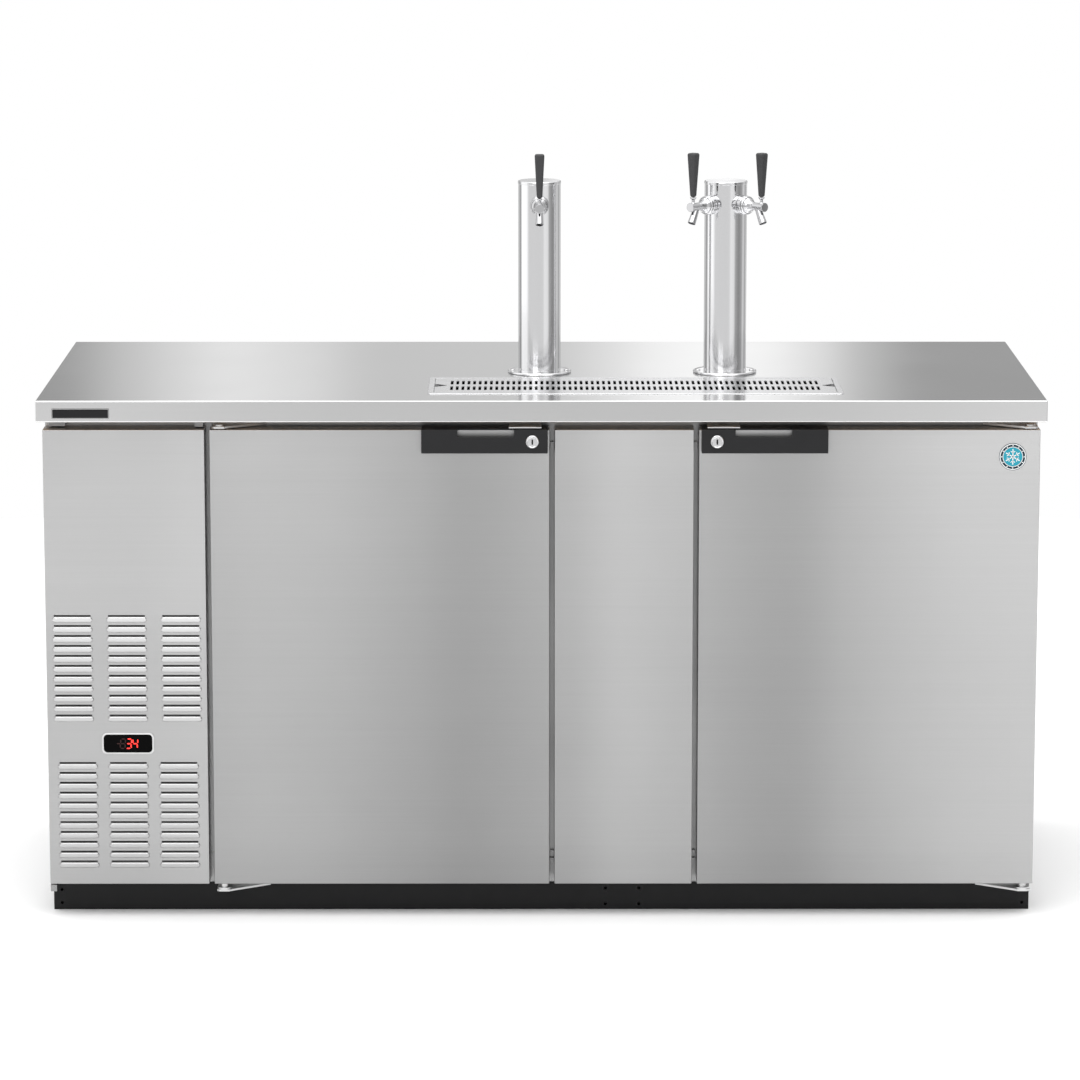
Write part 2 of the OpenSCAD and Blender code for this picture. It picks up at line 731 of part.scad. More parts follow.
// The sliding valve shaft, notched for the lever's tip and cut flat under its ball
module valve_shaft(i) color(bright) at_tap(i) difference() {
  tap_turned([[0, 60.5], [6, 60.5], [6, 63], [3.4, 63.5], [3.4, 99.5], [0, 99.5]]);
  translate([-5, -lever_r - 2.6, -1.9]) cube([10, 5.2, 10]);
  translate([-5, -lever_r - 9, 0.3]) cube([10, 13.9, 10]);
}
module valve_shaft_1() valve_shaft(0);
module valve_shaft_2() valve_shaft(1);
module valve_shaft_3() valve_shaft(2);

// ---------- hinges and locks ----------

bracket_t = 3.4;
pin_engage = 25;

// A plate from the cabinet face to the hinge axis, tapering away from the hinged
// side; +X is towards the door's opening edge
module hinge_plate() {
  reach = face_y - hinge_y;
  linear_extrude(bracket_t)
    polygon([[-13, -9], [-9, -13], [9, -13], [13, -9], [80, reach - 0.3], [-13, reach - 0.3]]);
}

module hinge_pair() {
  bottom_z = plinth_h - 5;
  pin_gap = door_z0 - bottom_z - bracket_t;
  translate([0, 0, bottom_z]) {
    hinge_plate();
    cylinder(r = 13, h = bracket_t + 3);
    cylinder(r = 6.8, h = bracket_t + pin_gap - 0.8);
    cylinder(r = hinge_pin_r, h = bracket_t + pin_gap + pin_engage);
  }
  block([-13, face_y - hinge_y - 3, bottom_z], [70, face_y - hinge_y - 0.3, door_z0 + 6]);
  top_z = door_z1 + 1.5;
  translate([0, 0, top_z]) {
    hinge_plate();
    cylinder(r = 9, h = bracket_t + 3);
  }
  translate([0, 0, door_z1 - pin_engage]) cylinder(r = hinge_pin_r, h = pin_engage + 4);
  block([-13, face_y - hinge_y - 3, top_z], [70, face_y - hinge_y - 0.3, under_z - 1]);
}

module hinge_brackets() color(bright) {
  translate([left_hinge_x, hinge_y, 0]) hinge_pair();
  translate([right_hinge_x, hinge_y, 0]) mirror([1, 0, 0]) hinge_pair();
}

// Slotted tongues over the handles, which the lock cams reach up through
module lock_strike(edge_x, s) {
  strike_t = 2;
  translate([edge_x, 0, 0]) scale([s, 1, 1]) difference() {
    union() {
      block([14, door_y - 14, strike_z], [71, face_y - 0.3, strike_z + strike_t]);
      block([14, face_y - 2.5, strike_z], [71, face_y - 0.3, under_z - 1.5]);
    }
    block([lock_inset - cam_slot[0], door_y - 11, strike_z - 1],
          [lock_inset + cam_slot[1], door_y - 6, strike_z + 4]);
  }
}
module lock_strikes() color(bright) {
  lock_strike(left_x1, -1);
  lock_strike(right_x0, 1);
}

// ---------- cooling system ----------

comp_y = 130;
comp_z = 70;

module compressor() color(black) {
  for (sx = [-1, 1], sy = [-1, 1]) rod_z(condenser_x + sx * 88, comp_y + sy * 62, base_z, comp_z - 4, 12);
  block([condenser_x - 105, comp_y - 80, comp_z - 3.5], [condenser_x + 105, comp_y + 80, comp_z - 0.5]);
  translate([condenser_x, comp_y, comp_z]) {
    rotate_extrude()
      polygon([[0, 0], [50, 0], [72, 8], [80, 24], [80, 84], [86, 84], [86, 90], [80, 90],
               [79, 130], [70, 152], [50, 166], [24, 172], [0, 173]]);
  }
  block([condenser_x + 70, comp_y - 30, comp_z + 30], [condenser_x + 112, comp_y + 30, comp_z + 78]);
}

// Fins are the bars between the slots cut in a block
module condenser_coil() color(galvanised) {
  fin_pitch = 8;
  x0 = condenser_x - condenser_w / 2;
  z0 = condenser_z - condenser_h / 2;
  difference() {
    block([x0, condenser_y0, z0], [x0 + condenser_w, condenser_y0 + condenser_t, z0 + condenser_h]);
    for (x = [x0 + 8 : fin_pitch : x0 + condenser_w - 10])
      block([x, condenser_y0 - 1, z0 + 3], [x + 5, condenser_y0 + condenser_t - 3, z0 + condenser_h - 3]);
  }
}

module fan_shroud() color(black) {
  y0 = condenser_y0 + condenser_t + 1;
  difference() {
    union() {
      block([condenser_x - condenser_w / 2, y0, condenser_z - condenser_h / 2],
            [condenser_x + condenser_w / 2, y0 + sheet, condenser_z + condenser_h / 2]);
      rod_y(condenser_x, y0, y0 + 24, condenser_z, ring_r + 2);
    }
    rod_y(condenser_x, y0 - 1, y0 + 26, condenser_z, ring_r);
  }
}

evap_fan_x = keg_x0 + 93;

// The two fan motors, with the arms that hold the condenser's motor
module fan_motors() color(dark_grey) {
  motor_y = fan_y + 16;
  rod_y(condenser_x, motor_y, motor_y + 55, condenser_z, 35);
  rod_y(condenser_x, fan_y - 9, motor_y + 1, condenser_z, 4);
  for (s = [-1, 1]) {
    block([condenser_x + s * 121 - 4, fan_y - 16, condenser_z - 10],
          [condenser_x + s * 121 + 4, motor_y + 40, condenser_z + 10]);
  }
  block([condenser_x - 125, motor_y + 36, condenser_z - 10],
        [condenser_x + 125, motor_y + 40, condenser_z + 10]);
  rod_x(evap_fan_x - 38, evap_fan_x - 14, evap_y, evap_z, 24);
  rod_x(evap_fan_x - 15, evap_fan_x + 7, evap_y, evap_z, 3);
}

// A fan turned about +Z: a bored hub and tilted blades
module fan(r, hub_r, bore_r, chord, pitch) {
  difference() {
    union() {
      translate([0, 0, -chord / 4 - 2]) cylinder(r = hub_r, h = chord / 2 + 4);
      for (a = [0 : 72 : 288]) rotate([0, 0, a]) translate([hub_r - 3, 0, 0]) rotate([pitch, 0, 0])
        translate([0, -chord / 2, -1]) cube([r - hub_r, chord, 2]);
    }
    translate([0, 0, -chord]) cylinder(r = bore_r, h = 2 * chord);
  }
}
module condenser_fan_blade() color(dark_grey)
  translate([condenser_x, fan_y, condenser_z]) rotate([-90, 0, 0]) fan(fan_r, 20, 4.06, 38, 26);
module evaporator_fan_blade() color(dark_grey)
  translate([evap_fan_x, evap_y, evap_z]) rotate([0, 90, 0]) fan(evap_fan_r, 16, 3.06, 30, 24);

// Discharge, liquid and suction lines, with the filter drier
module refrigerant_lines() color(copper) {
  side_x = condenser_x - condenser_w / 2 - 5;
  riser_x = side_x + 19;
  back_run = 240;
  drier = [500, 590];
  in_x = keg_x0 + 5;
  liquid_z = lines_z + 6;
  suction_z = lines_z - 7;
  pipe([[condenser_x - 12, comp_y, comp_z + 173.2], [condenser_x - 12, comp_y, 290],
        [side_x, comp_y, 290], [side_x, condenser_y0 + 20, 290]], 4);
  pipe([[side_x, condenser_y0 + 20, 120], [side_x, -210, 120], [riser_x, -210, 120],
        [riser_x, back_run, 120], [riser_x, back_run, 360], [-700, back_run, 360],
        [-700, back_run, drier[0]]], 3);
  rod_z(-700, back_run, drier[0], drier[1], 12);
  pipe([[-700, back_run, drier[1]], [-700, back_run, liquid_z], [-700, lines_y, liquid_z],
        [in_x, lines_y, liquid_z]], 2.5);
  pipe([[in_x, lines_y, suction_z], [-650, lines_y, suction_z], [-650, 262, suction_z],
        [-650, 262, 130], [condenser_x, 262, 130], [condenser_x, comp_y + 80.3, 130]], 6);
}

module evaporator_coil() color(galvanised) {
  y0 = evap_y - evap_w / 2 + 8;
  z0 = evap_z - evap_h / 2 + 8;
  fin_pitch = 10;
  difference() {
    block([keg_x0 + 6, y0, z0], [keg_x0 + 52, y0 + evap_w - 16, z0 + evap_h - 16]);
    for (y = [y0 + 8 : fin_pitch : y0 + evap_w - 26])
      block([keg_x0 + 10, y, z0 + 4], [keg_x0 + 53, y + 7, z0 + evap_h - 20]);
  }
}

// The cover over the coil, with a guard over the fan and slots below
module evaporator_housing() color(bright) {
  x1 = keg_x0 + evap_depth;
  difference() {
    block([keg_x0 + 0.5, evap_y - evap_w / 2, evap_z - evap_h / 2],
          [x1, evap_y + evap_w / 2, evap_z + evap_h / 2]);
    block([keg_x0 - 1, evap_y - evap_w / 2 + thin, evap_z - evap_h / 2 + thin],
          [x1 - thin, evap_y + evap_w / 2 - thin, evap_z + evap_h / 2 - thin]);
    rod_x(x1 - 3, x1 + 1, evap_y, evap_z, evap_fan_r + 6);
    for (i = [-6 : 6])
      translate([keg_x0 + 30, evap_y + i * 24 - 7, evap_z - evap_h / 2 - 1]) cube([70, 14, 4]);
  }
  translate([x1 - thin, evap_y, evap_z]) rotate([0, 90, 0]) linear_extrude(thin) {
    for (r = [evap_fan_r + 4, 64, 44, 24]) difference() {
      circle(r = r + 2.2);
      circle(r = r);
    }
    for (a = [0 : 45 : 135]) rotate(a) square([2 * evap_fan_r + 12, 2.4], center = true);
    circle(r = 12);
  }
}

// ---------- small parts at the back and front ----------

gas_bore_r = 7;
gland_bore_r = 4.5;

// The sleeve for the gas line through the back wall, and the gland for the cord
module rear_grommets() color(black) {
  difference() {
    union() {
      rod_y(gas_x, keg_y1 - 2, back_y + 3, gas_z, 12.5);
      rod_y(gas_x, back_y + 0.2, back_y + 4, gas_z, 18);
      rod_y(gas_x, keg_y1 - 4, keg_y1 - 0.2, gas_z, 18);
    }
    rod_y(gas_x, keg_y1 - 8, back_y + 8, gas_z, gas_bore_r);
  }
  difference() {
    union() {
      rod_y(gland_x, back_y - 8, back_y + 5, gland_z, 8.8);
      rod_y(gland_x, back_y + 0.2, back_y + 9, gland_z, 12);
      rod_y(gland_x, back_y - 7, back_y - sheet - 0.2, gland_z, 12);
    }
    rod_y(gland_x, back_y - 12, back_y + 12, gland_z, gland_bore_r);
  }
}

plate_x = -804;
plate_z = under_z + 15.5;
plate_size = [100, 18];

module nameplate() color(black)
  translate([plate_x, 0, plate_z])
    upright(top_y0 - plate_proud, plate_proud) round_rect(plate_size, 1.5);

// ---------- doors ----------

bush_r = 7;
bore_r = hinge_pin_r + 0.05;

// The pan of a door, with the two bushes that turn on the hinge pins
module door_skin(x0, x1, hinge_x) color(steel)
  difference() {
    union() {
      difference() {
        block([x0, door_y, door_z0], [x1, door_back_y, door_z1]);
        block([x0 + thin, door_y + thin, door_z0 + thin], [x1 - thin, door_back_y + 1, door_z1 - thin]);
      }
      rod_z(hinge_x, hinge_y, door_z0, door_z0 + pin_engage + 2, bush_r);
      rod_z(hinge_x, hinge_y, door_z1 - pin_engage - 2, door_z1, bush_r);
    }
    rod_z(hinge_x, hinge_y, door_z0 - 1, door_z0 + pin_engage + 1, bore_r);
    rod_z(hinge_x, hinge_y, door_z1 - pin_engage - 1, door_z1 + 1, bore_r);
  }

module door_core(x0, x1, hinge_x) color(cream) {
  gap = thin + 0.4;
  difference() {
    block([x0 + gap, door_y + gap, door_z0 + gap], [x1 - gap, door_back_y - 2, door_z1 - gap]);
    rod_z(hinge_x, hinge_y, door_z0, door_z0 + pin_engage + 4, bush_r + 0.4);
    rod_z(hinge_x, hinge_y, door_z1 - pin_engage - 4, door_z1, bush_r + 0.4);
  }
}

// Insets of the gasket at the left and right edges of a door
function gasket_x0(x0, x1, hinge_x) =
  x0 + (hinge_x < (x0 + x1) / 2 ? gasket_hinge_inset : gasket_latch_inset);
function gasket_x1(x0, x1, hinge_x) =
  x1 - (hinge_x < (x0 + x1) / 2 ? gasket_latch_inset : gasket_hinge_inset);

module door_liner(x0, x1, hinge_x) color(bright) {
  gx0 = gasket_x0(x0, x1, hinge_x) + gasket_w + 3;
  gx1 = gasket_x1(x0, x1, hinge_x) - gasket_w - 3;
  gz0 = door_z0 + gasket_z_inset + gasket_w + 3;
  gz1 = door_z1 - gasket_z_inset - gasket_w - 3;
  block([x0 + 1.6, door_back_y - 1.8, door_z0 + 1.6], [x1 - 1.6, door_back_y - 0.4, door_z1 - 1.6]);
  block([gx0, door_back_y - 0.6, gz0], [gx1, door_back_y + 8, gz1]);
}

module door_gasket(x0, x1, hinge_x) color(black) {
  gx0 = gasket_x0(x0, x1, hinge_x);
  gx1 = gasket_x1(x0, x1, hinge_x);
  gz0 = door_z0 + gasket_z_inset;
  gz1 = door_z1 - gasket_z_inset;
  y0 = door_back_y - 0.2;
  y1 = face_y - clear;
  block([gx0, y0, gz0], [gx1, y1, gz0 + gasket_w]);
  block([gx0, y0, gz1 - gasket_w], [gx1, y1, gz1]);
  block([gx0, y0, gz0 + gasket_w + 0.5], [gx0 + gasket_w, y1, gz1 - gasket_w - 0.5]);
  block([gx1 - gasket_w, y0, gz0 + gasket_w + 0.5], [gx1, y1, gz1 - gasket_w - 0.5]);
}

// A bent plate that stands off the door and folds over its top edge, with a
// finger slot and a rolled lip. Drawn from the opening edge towards +X.
module door_handle() {
  x0 = handle_inset;
  x1 = handle_inset + handle_w;
  z1 = door_z1 + 2.4;
  over_z = door_z1 + 0.4;
  lip_r = 4;
  difference() {
    union() {
      difference() {
        block([x0, handle_y, handle_z0], [x1, door_y, z1]);
        block([x0 + handle_t, handle_y + handle_t, handle_z0 + handle_t],
              [x1 - handle_t, door_y + 1, over_z]);
      }
      block([x0, door_y - 1, over_z], [x1, door_back_y - 3, z1]);
      rod_x(slot_near, slot_far, handle_y + lip_r, lock_z + 4, lip_r);
    }
    block([slot_near, handle_y - 1, lock_z + 8], [slot_far, handle_y + handle_t, z1 + 1]);
    block([slot_near, handle_y - 1, over_z - 1], [slot_far, door_y, z1 + 1]);
    rod_y(lock_inset, handle_y - 1, handle_y + handle_t + 1, lock_z, lock_r + 0.05);
    block([lock_inset - cam_slot[0], door_y - 10.5, over_z - 1],
          [lock_inset + cam_slot[1], door_y - 6.5, z1 + 1]);
  }
}
module left_door_handle() color(black)
  translate([left_x1 + 1, 0, 0]) mirror([1, 0, 0]) door_handle();
module right_door_handle() color(black) translate([right_x0, 0, 0]) door_handle();

// Lock cylinder with its key slot, and the cam that lies level when unlocked
module lock_cylinder() {
  cam_y = door_y - 9.5;
  translate([lock_inset, 0, lock_z]) difference() {
    union() {
      rod_y(0, handle_y - 2.2, handle_y - 0.2, 0, lock_r + 1);
      rod_y(0, handle_y - 0.3, handle_y + handle_t + 0.5, 0, lock_r);
      rod_y(0, handle_y + handle_t, cam_y + 2, 0, 6);
      upright(cam_y, 2) {
        translate([(cam_len - cam_w / 2) / 2, 0]) square([cam_len - cam_w / 2, cam_w], center = true);
        circle(d = cam_w);
        translate([cam_len - cam_w / 2, 0]) circle(d = cam_w);
      }
    }
    translate([0, handle_y - 2, 0]) cube([1.8, 8, 7.5], center = true);
  }
}
module left_lock_cylinder() color(bright)
  translate([left_x1 + 1, 0, 0]) mirror([1, 0, 0]) lock_cylinder();
module right_lock_cylinder() color(bright) translate([right_x0, 0, 0]) lock_cylinder();

module left_door_skin() door_skin(left_x0, left_x1, left_hinge_x);
module left_door_core() door_core(left_x0, left_x1, left_hinge_x);
module left_door_liner() door_liner(left_x0, left_x1, left_hinge_x);
module left_door_gasket() door_gasket(left_x0, left_x1, left_hinge_x);
module right_door_skin() door_skin(right_x0, right_x1, right_hinge_x);
module right_door_core() door_core(right_x0, right_x1, right_hinge_x);
module right_door_liner() door_liner(right_x0, right_x1, right_hinge_x);
module right_door_gasket() door_gasket(right_x0, right_x1, right_hinge_x);

badge_r = 24;
badge_inset = 48;

module door_badge() color([0.2, 0.45, 0.6])
  rod_y(right_x1 - badge_inset, door_y - 1.8, door_y, door_z1 - badge_inset, badge_r);

plinth_frame();
base_pan();
side_panel_left();
side_panel_right();
back_panel();
insulation_foam();
interior_liner();
face_frame();
centre_panel();
louvre_panel();
display_bezel();
display_lens();
control_box();
worktop_skin();
worktop_core();
drip_tray();
drip_grate();
drip_drain_tube();
tower_columns();
tower_caps();
tower_flanges();
tower_screws();
beer_tubes();
tap_shanks();
faucet_bodies();
tap_lever_1();
tap_lever_2();
tap_lever_3();
tap_handle_1();
tap_handle_2();
tap_handle_3();
valve_shaft_1();
valve_shaft_2();
valve_shaft_3();
hinge_brackets();
lock_strikes();
compressor();
condenser_coil();
fan_shroud();
fan_motors();
condenser_fan_blade();
refrigerant_lines();
evaporator_coil();
evaporator_housing();
evaporator_fan_blade();
rear_grommets();
nameplate();
left_door_skin();
left_door_core();
left_door_liner();
left_door_gasket();
left_door_handle();
left_lock_cylinder();
right_door_skin();
right_door_core();
right_door_liner();
right_door_gasket();
right_door_handle();
right_lock_cylinder();
door_badge();
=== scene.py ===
import json
import math

import bpy
from bpy.props import FloatProperty, FloatVectorProperty, PointerProperty
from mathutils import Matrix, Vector

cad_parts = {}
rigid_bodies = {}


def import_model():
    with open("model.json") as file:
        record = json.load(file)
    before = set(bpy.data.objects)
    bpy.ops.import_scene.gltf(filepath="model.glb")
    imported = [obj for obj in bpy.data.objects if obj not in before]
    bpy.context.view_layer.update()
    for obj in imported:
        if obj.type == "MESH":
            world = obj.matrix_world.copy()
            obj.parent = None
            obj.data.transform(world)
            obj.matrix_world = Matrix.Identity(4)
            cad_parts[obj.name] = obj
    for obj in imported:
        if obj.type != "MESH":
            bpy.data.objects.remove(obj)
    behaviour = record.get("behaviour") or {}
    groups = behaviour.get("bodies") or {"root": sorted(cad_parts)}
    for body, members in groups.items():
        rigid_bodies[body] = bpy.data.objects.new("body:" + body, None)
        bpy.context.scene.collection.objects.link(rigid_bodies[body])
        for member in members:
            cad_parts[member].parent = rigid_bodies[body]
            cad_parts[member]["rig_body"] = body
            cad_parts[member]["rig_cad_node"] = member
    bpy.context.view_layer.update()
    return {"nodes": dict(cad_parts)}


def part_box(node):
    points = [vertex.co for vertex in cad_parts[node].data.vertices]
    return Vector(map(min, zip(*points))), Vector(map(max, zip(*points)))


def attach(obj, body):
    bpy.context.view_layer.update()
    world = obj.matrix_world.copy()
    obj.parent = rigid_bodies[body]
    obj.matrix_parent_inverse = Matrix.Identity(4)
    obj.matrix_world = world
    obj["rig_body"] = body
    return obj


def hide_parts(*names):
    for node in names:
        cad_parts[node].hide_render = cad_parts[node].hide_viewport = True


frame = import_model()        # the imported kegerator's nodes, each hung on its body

bl_info = {
    "name": "Kegerator",
    "version": (1, 0, 0),
    "blender": (4, 5, 0),
    "location": "View3D > Sidebar > Kegerator",
    "description": "Models and finishes a two-door kegerator with a drip tray and two tap towers",
    "category": "Add Mesh",
}

MM = 0.001
QUARTER_TURN = math.pi / 2
FULL_TURN = 2 * math.pi
UPRIGHT = (QUARTER_TURN, 0, 0)
SMOOTH_ANGLE = math.radians(32)


def mm(*values):
    """Millimetres as a vector in metres, or as one length."""
    return values[0] * MM if len(values) == 1 else Vector(values) * MM


# ---------- modelling by hand: selection, primitives, edges and cuts ----------

def only(piece=None):
    """Leaves object mode's selection empty, or holding one piece alone."""
    if bpy.context.object and bpy.context.object.mode != "OBJECT":
        bpy.ops.object.mode_set(mode="OBJECT")
    bpy.ops.object.select_all(action="DESELECT")
    if piece:
        piece.select_set(True)
        bpy.context.view_layer.objects.active = piece


def settled(name):
    """Names the active piece and puts its place, turn and scale into its mesh."""
    piece = bpy.context.object
    piece.name = name
    piece.data.name = name
    bpy.ops.object.transform_apply(location=True, rotation=True, scale=True)
    return piece


def placed(piece, location=(0, 0, 0), rotation=(0, 0, 0)):
    """Turns and moves a piece, then settles it."""
    only(piece)
    piece.location = location
    piece.rotation_euler = rotation
    return settled(piece.name)


def block(name, lo, hi):
    """A block between two opposite corners."""
    only()
    lo, hi = Vector(lo), Vector(hi)
    bpy.ops.mesh.primitive_cube_add(size=1, location=(lo + hi) / 2, scale=hi - lo)
    return settled(name)


def rod(name, start, end, radius, sides=40):
    """A round rod between two points."""
    only()
    start, end = Vector(start), Vector(end)
    run = end - start
    turn = run.to_track_quat("Z", "Y").to_euler()
    bpy.ops.mesh.primitive_cylinder_add(
        vertices=sides, radius=radius, depth=run.length, location=(start + end) / 2, rotation=turn)
    return settled(name)


def drawn(name, points):
    """One vertex extruded along a run of points, as a wire."""
    only()
    bpy.ops.mesh.primitive_plane_add(size=MM)
    piece = settled(name)
    bpy.ops.object.mode_set(mode="EDIT")
    bpy.ops.mesh.select_mode(type="VERT")
    bpy.ops.mesh.select_all(action="SELECT")
    bpy.ops.mesh.merge(type="CENTER")
    here = Vector(points[0])
    bpy.ops.transform.translate(value=here)
    for point in points[1:]:
        step = Vector(point) - here
        bpy.ops.mesh.extrude_region_move(TRANSFORM_OT_translate={"value": step})
        here = Vector(point)
    return piece


def turned(name, profile, steps=48):
    """A closed profile of (radius, height) points spun about +Z."""
    piece = drawn(name, [(radius, 0, height) for radius, height in profile])
    bpy.ops.mesh.select_all(action="SELECT")
    bpy.ops.mesh.spin(steps=steps, angle=FULL_TURN, center=(0, 0, 0), axis=(0, 0, 1))
    bpy.ops.mesh.select_all(action="SELECT")
    bpy.ops.mesh.remove_doubles(threshold=1e-6)
    bpy.ops.mesh.normals_make_consistent(inside=False)
    bpy.ops.object.mode_set(mode="OBJECT")
    return piece


def in_mm(points):
    """Pairs of millimetres in metres."""
    return [(across * MM, up * MM) for across, up in points]


def round_spots(radius, count):
    """Shifts to the spots of a circle in X and Y."""
    turns = [place * FULL_TURN / count for place in range(count)]
    return [(radius * math.cos(turn), radius * math.sin(turn)) for turn in turns]


def prism(name, outline, rise):
    """A flat outline of points filled and extruded by a vector."""
    piece = drawn(name, outline)
    bpy.ops.mesh.select_all(action="SELECT")
    bpy.ops.mesh.edge_face_add()
    bpy.ops.mesh.extrude_region_move(TRANSFORM_OT_translate={"value": Vector(rise)})
    bpy.ops.mesh.select_all(action="SELECT")
    bpy.ops.mesh.normals_make_consistent(inside=False)
    bpy.ops.object.mode_set(mode="OBJECT")
    return piece


def plate(name, centre, size, radius, thickness, segments=6):
    """A flat plate with round corners lying in X and Y, thickened along +Z."""
    only()
    bpy.ops.mesh.primitive_plane_add(size=1)
    piece = bpy.context.object
    piece.scale = (size[0], size[1], 1)
    piece.location = centre
    settled(name)
    bpy.ops.object.mode_set(mode="EDIT")
    bpy.ops.mesh.select_mode(type="VERT")
    bpy.ops.mesh.select_all(action="SELECT")
    bpy.ops.mesh.bevel(affect="VERTICES", offset=radius, segments=segments)
    bpy.ops.mesh.select_all(action="SELECT")
    bpy.ops.mesh.extrude_region_move(TRANSFORM_OT_translate={"value": (0, 0, thickness)})
    bpy.ops.mesh.select_all(action="SELECT")
    bpy.ops.mesh.normals_make_consistent(inside=False)
    bpy.ops.object.mode_set(mode="OBJECT")
    return piece


def upright_plate(name, centre, size, radius, back, front):
    """A plate with round corners that stands in X and Z between two planes."""
    return placed(plate(name, (0, 0, 0), size, radius, back - front), (centre.x, back, centre.z), UPRIGHT)


def apply_modifier(piece, modifier):
    """Applies one modifier to its piece."""
    only(piece)
    bpy.ops.object.modifier_apply(modifier=modifier.name)
    return piece


def soften(piece, width, segments=2, angle=35):
    """Rounds every edge that is sharper than an angle."""
    bevel = piece.modifiers.new("soft_edges", "BEVEL")
    bevel.width = width
    bevel.segments = segments
    bevel.limit_method = "ANGLE"
    bevel.angle_limit = math.radians(angle)
    return apply_modifier(piece, bevel)


def cut(piece, *cutters):
    """Takes each cutter's shape out of a piece and removes the cutter."""
    for cutter in cutters:
        knife = piece.modifiers.new("cut", "BOOLEAN")
        knife.operation = "DIFFERENCE"
        knife.solver = "EXACT"
        knife.object = cutter
        apply_modifier(piece, knife)
        bpy.data.objects.remove(cutter)
    return piece


def joined(name, pieces):
    """Joins pieces into the first of them."""
    only(pieces[0])
    for piece in pieces[1:]:
        piece.select_set(True)
    bpy.ops.object.join()
    return settled(name)


def twin(piece, shift=(0, 0, 0), rotation=(0, 0, 0)):
    """A copy of a piece with a mesh of its own, turned and moved."""
    only(piece)
    bpy.ops.object.duplicate(linked=False)
    return placed(bpy.context.object, shift, rotation)


def copies(piece, places):
    """Copies of a model at each shift and rotation, in place of the model itself."""
    made = [twin(piece, shift, rotation) for shift, rotation in places]
    bpy.data.objects.remove(piece)
    return made


def rows_of(piece, count, pitch):
    """A piece repeated along a vector, in one mesh."""
    row = piece.modifiers.new("row", "ARRAY")
    row.count = count
    row.use_relative_offset = False
    row.use_constant_offset = True
    row.constant_offset_displace = pitch
    return apply_modifier(piece, row)


def pick_faces(piece, wanted):
    """Enters edit mode with the faces selected whose centre and normal pass a test."""
    only(piece)
    bpy.ops.object.mode_set(mode="EDIT")
    bpy.ops.mesh.select_mode(type="FACE")
    bpy.ops.mesh.select_all(action="DESELECT")
    bpy.ops.object.mode_set(mode="OBJECT")
    for face in piece.data.polygons:
        face.select = wanted(face.center, face.normal)
    bpy.ops.object.mode_set(mode="EDIT")


def fitted(piece, body, slot, material, *replaces):
    """Smooths, dresses and hangs a finished piece on its body."""
    only(piece)
    bpy.ops.object.shade_smooth_by_angle(angle=SMOOTH_ANGLE)
    normals = piece.modifiers.new("face_normals", "WEIGHTED_NORMAL")
    normals.keep_sharp = True
    apply_modifier(piece, normals)
    piece.data.materials.clear()
    piece.data.materials.append(material)
    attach(piece, body)
    if replaces:
        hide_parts(*replaces)
    return piece


def dress(material, *nodes):
    """Gives a finish to CAD nodes whose shape is right."""
    for name in nodes:
        for place in frame["nodes"][name].material_slots:
            place.material = material


def softened_node(node, width, body, slot, material):
    """Fits a copy of a CAD node, merged, with its flat faces made whole and its edges
    rounded, in the node's place."""
    only(frame["nodes"][node])
    bpy.ops.object.duplicate(linked=False)
    piece = bpy.context.object
    piece.name = node + "_soft"
    piece.parent = None
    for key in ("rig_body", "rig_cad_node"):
        if key in piece:
            del piece[key]
    bpy.ops.object.mode_set(mode="EDIT")
    bpy.ops.mesh.select_all(action="SELECT")
    bpy.ops.mesh.remove_doubles(threshold=1e-6)
    bpy.ops.mesh.dissolve_limited(angle_limit=math.radians(0.5))
    bpy.ops.object.mode_set(mode="OBJECT")
    fitted(soften(piece, width), body, slot, material, node)


# ---------- shader nodes ----------

def linear(level):
    """A display grey from 0 to 255 as a linear value."""
    share = level / 255
    return ((share + 0.055) / 1.055) ** 2.4 if share > 0.04045 else share / 12.92


def group_tree(name, inputs, outputs):
    """A new shader group with a Vector input and float sockets."""
    tree = bpy.data.node_groups.new(name, "ShaderNodeTree")
    tree.interface.new_socket("Vector", in_out="INPUT", socket_type="NodeSocketVector")
    for label, default in inputs.items():
        socket = tree.interface.new_socket(label, in_out="INPUT", socket_type="NodeSocketFloat")
        socket.default_value = default
    for label in outputs:
        tree.interface.new_socket(label, in_out="OUTPUT", socket_type="NodeSocketFloat")
    return tree, tree.nodes.new("NodeGroupInput").outputs, tree.nodes.new("NodeGroupOutput").inputs


def feed(tree, value, socket):
    """Links a socket to another one, or gives it a constant."""
    if isinstance(value, bpy.types.NodeSocket):
        tree.links.new(value, socket)
    else:
        socket.default_value = value


def add_node(tree, kind, inputs=None, **settings):
    """A shader node with its settings, and its inputs linked or set by label or number."""
    node = tree.nodes.new("ShaderNode" + kind)
    for name, value in settings.items():
        setattr(node, name, value)
    for label, value in (inputs or {}).items():
        feed(tree, value, node.inputs[label])
    return node


def math_node(tree, operation, first, second):
    """A Math node on two sockets or numbers, and its output."""
    return add_node(tree, "Math", {0: first, 1: second}, operation=operation).outputs[0]


def map_range(tree, value, start, end, low=0.0, high=1.0, **settings):
    """A value carried over from one range to another."""
    inputs = {"Value": value, "From Min": start, "From Max": end, "To Min": low, "To Max": high}
    return add_node(tree, "MapRange", inputs, **settings).outputs["Result"]


def swung(tree, value, depth):
    """A tone that swings round 1 as a value swings round a half."""
    centred = math_node(tree, "SUBTRACT", value, 0.5)
    return math_node(tree, "ADD", math_node(tree, "MULTIPLY", centred, depth), 1.0)


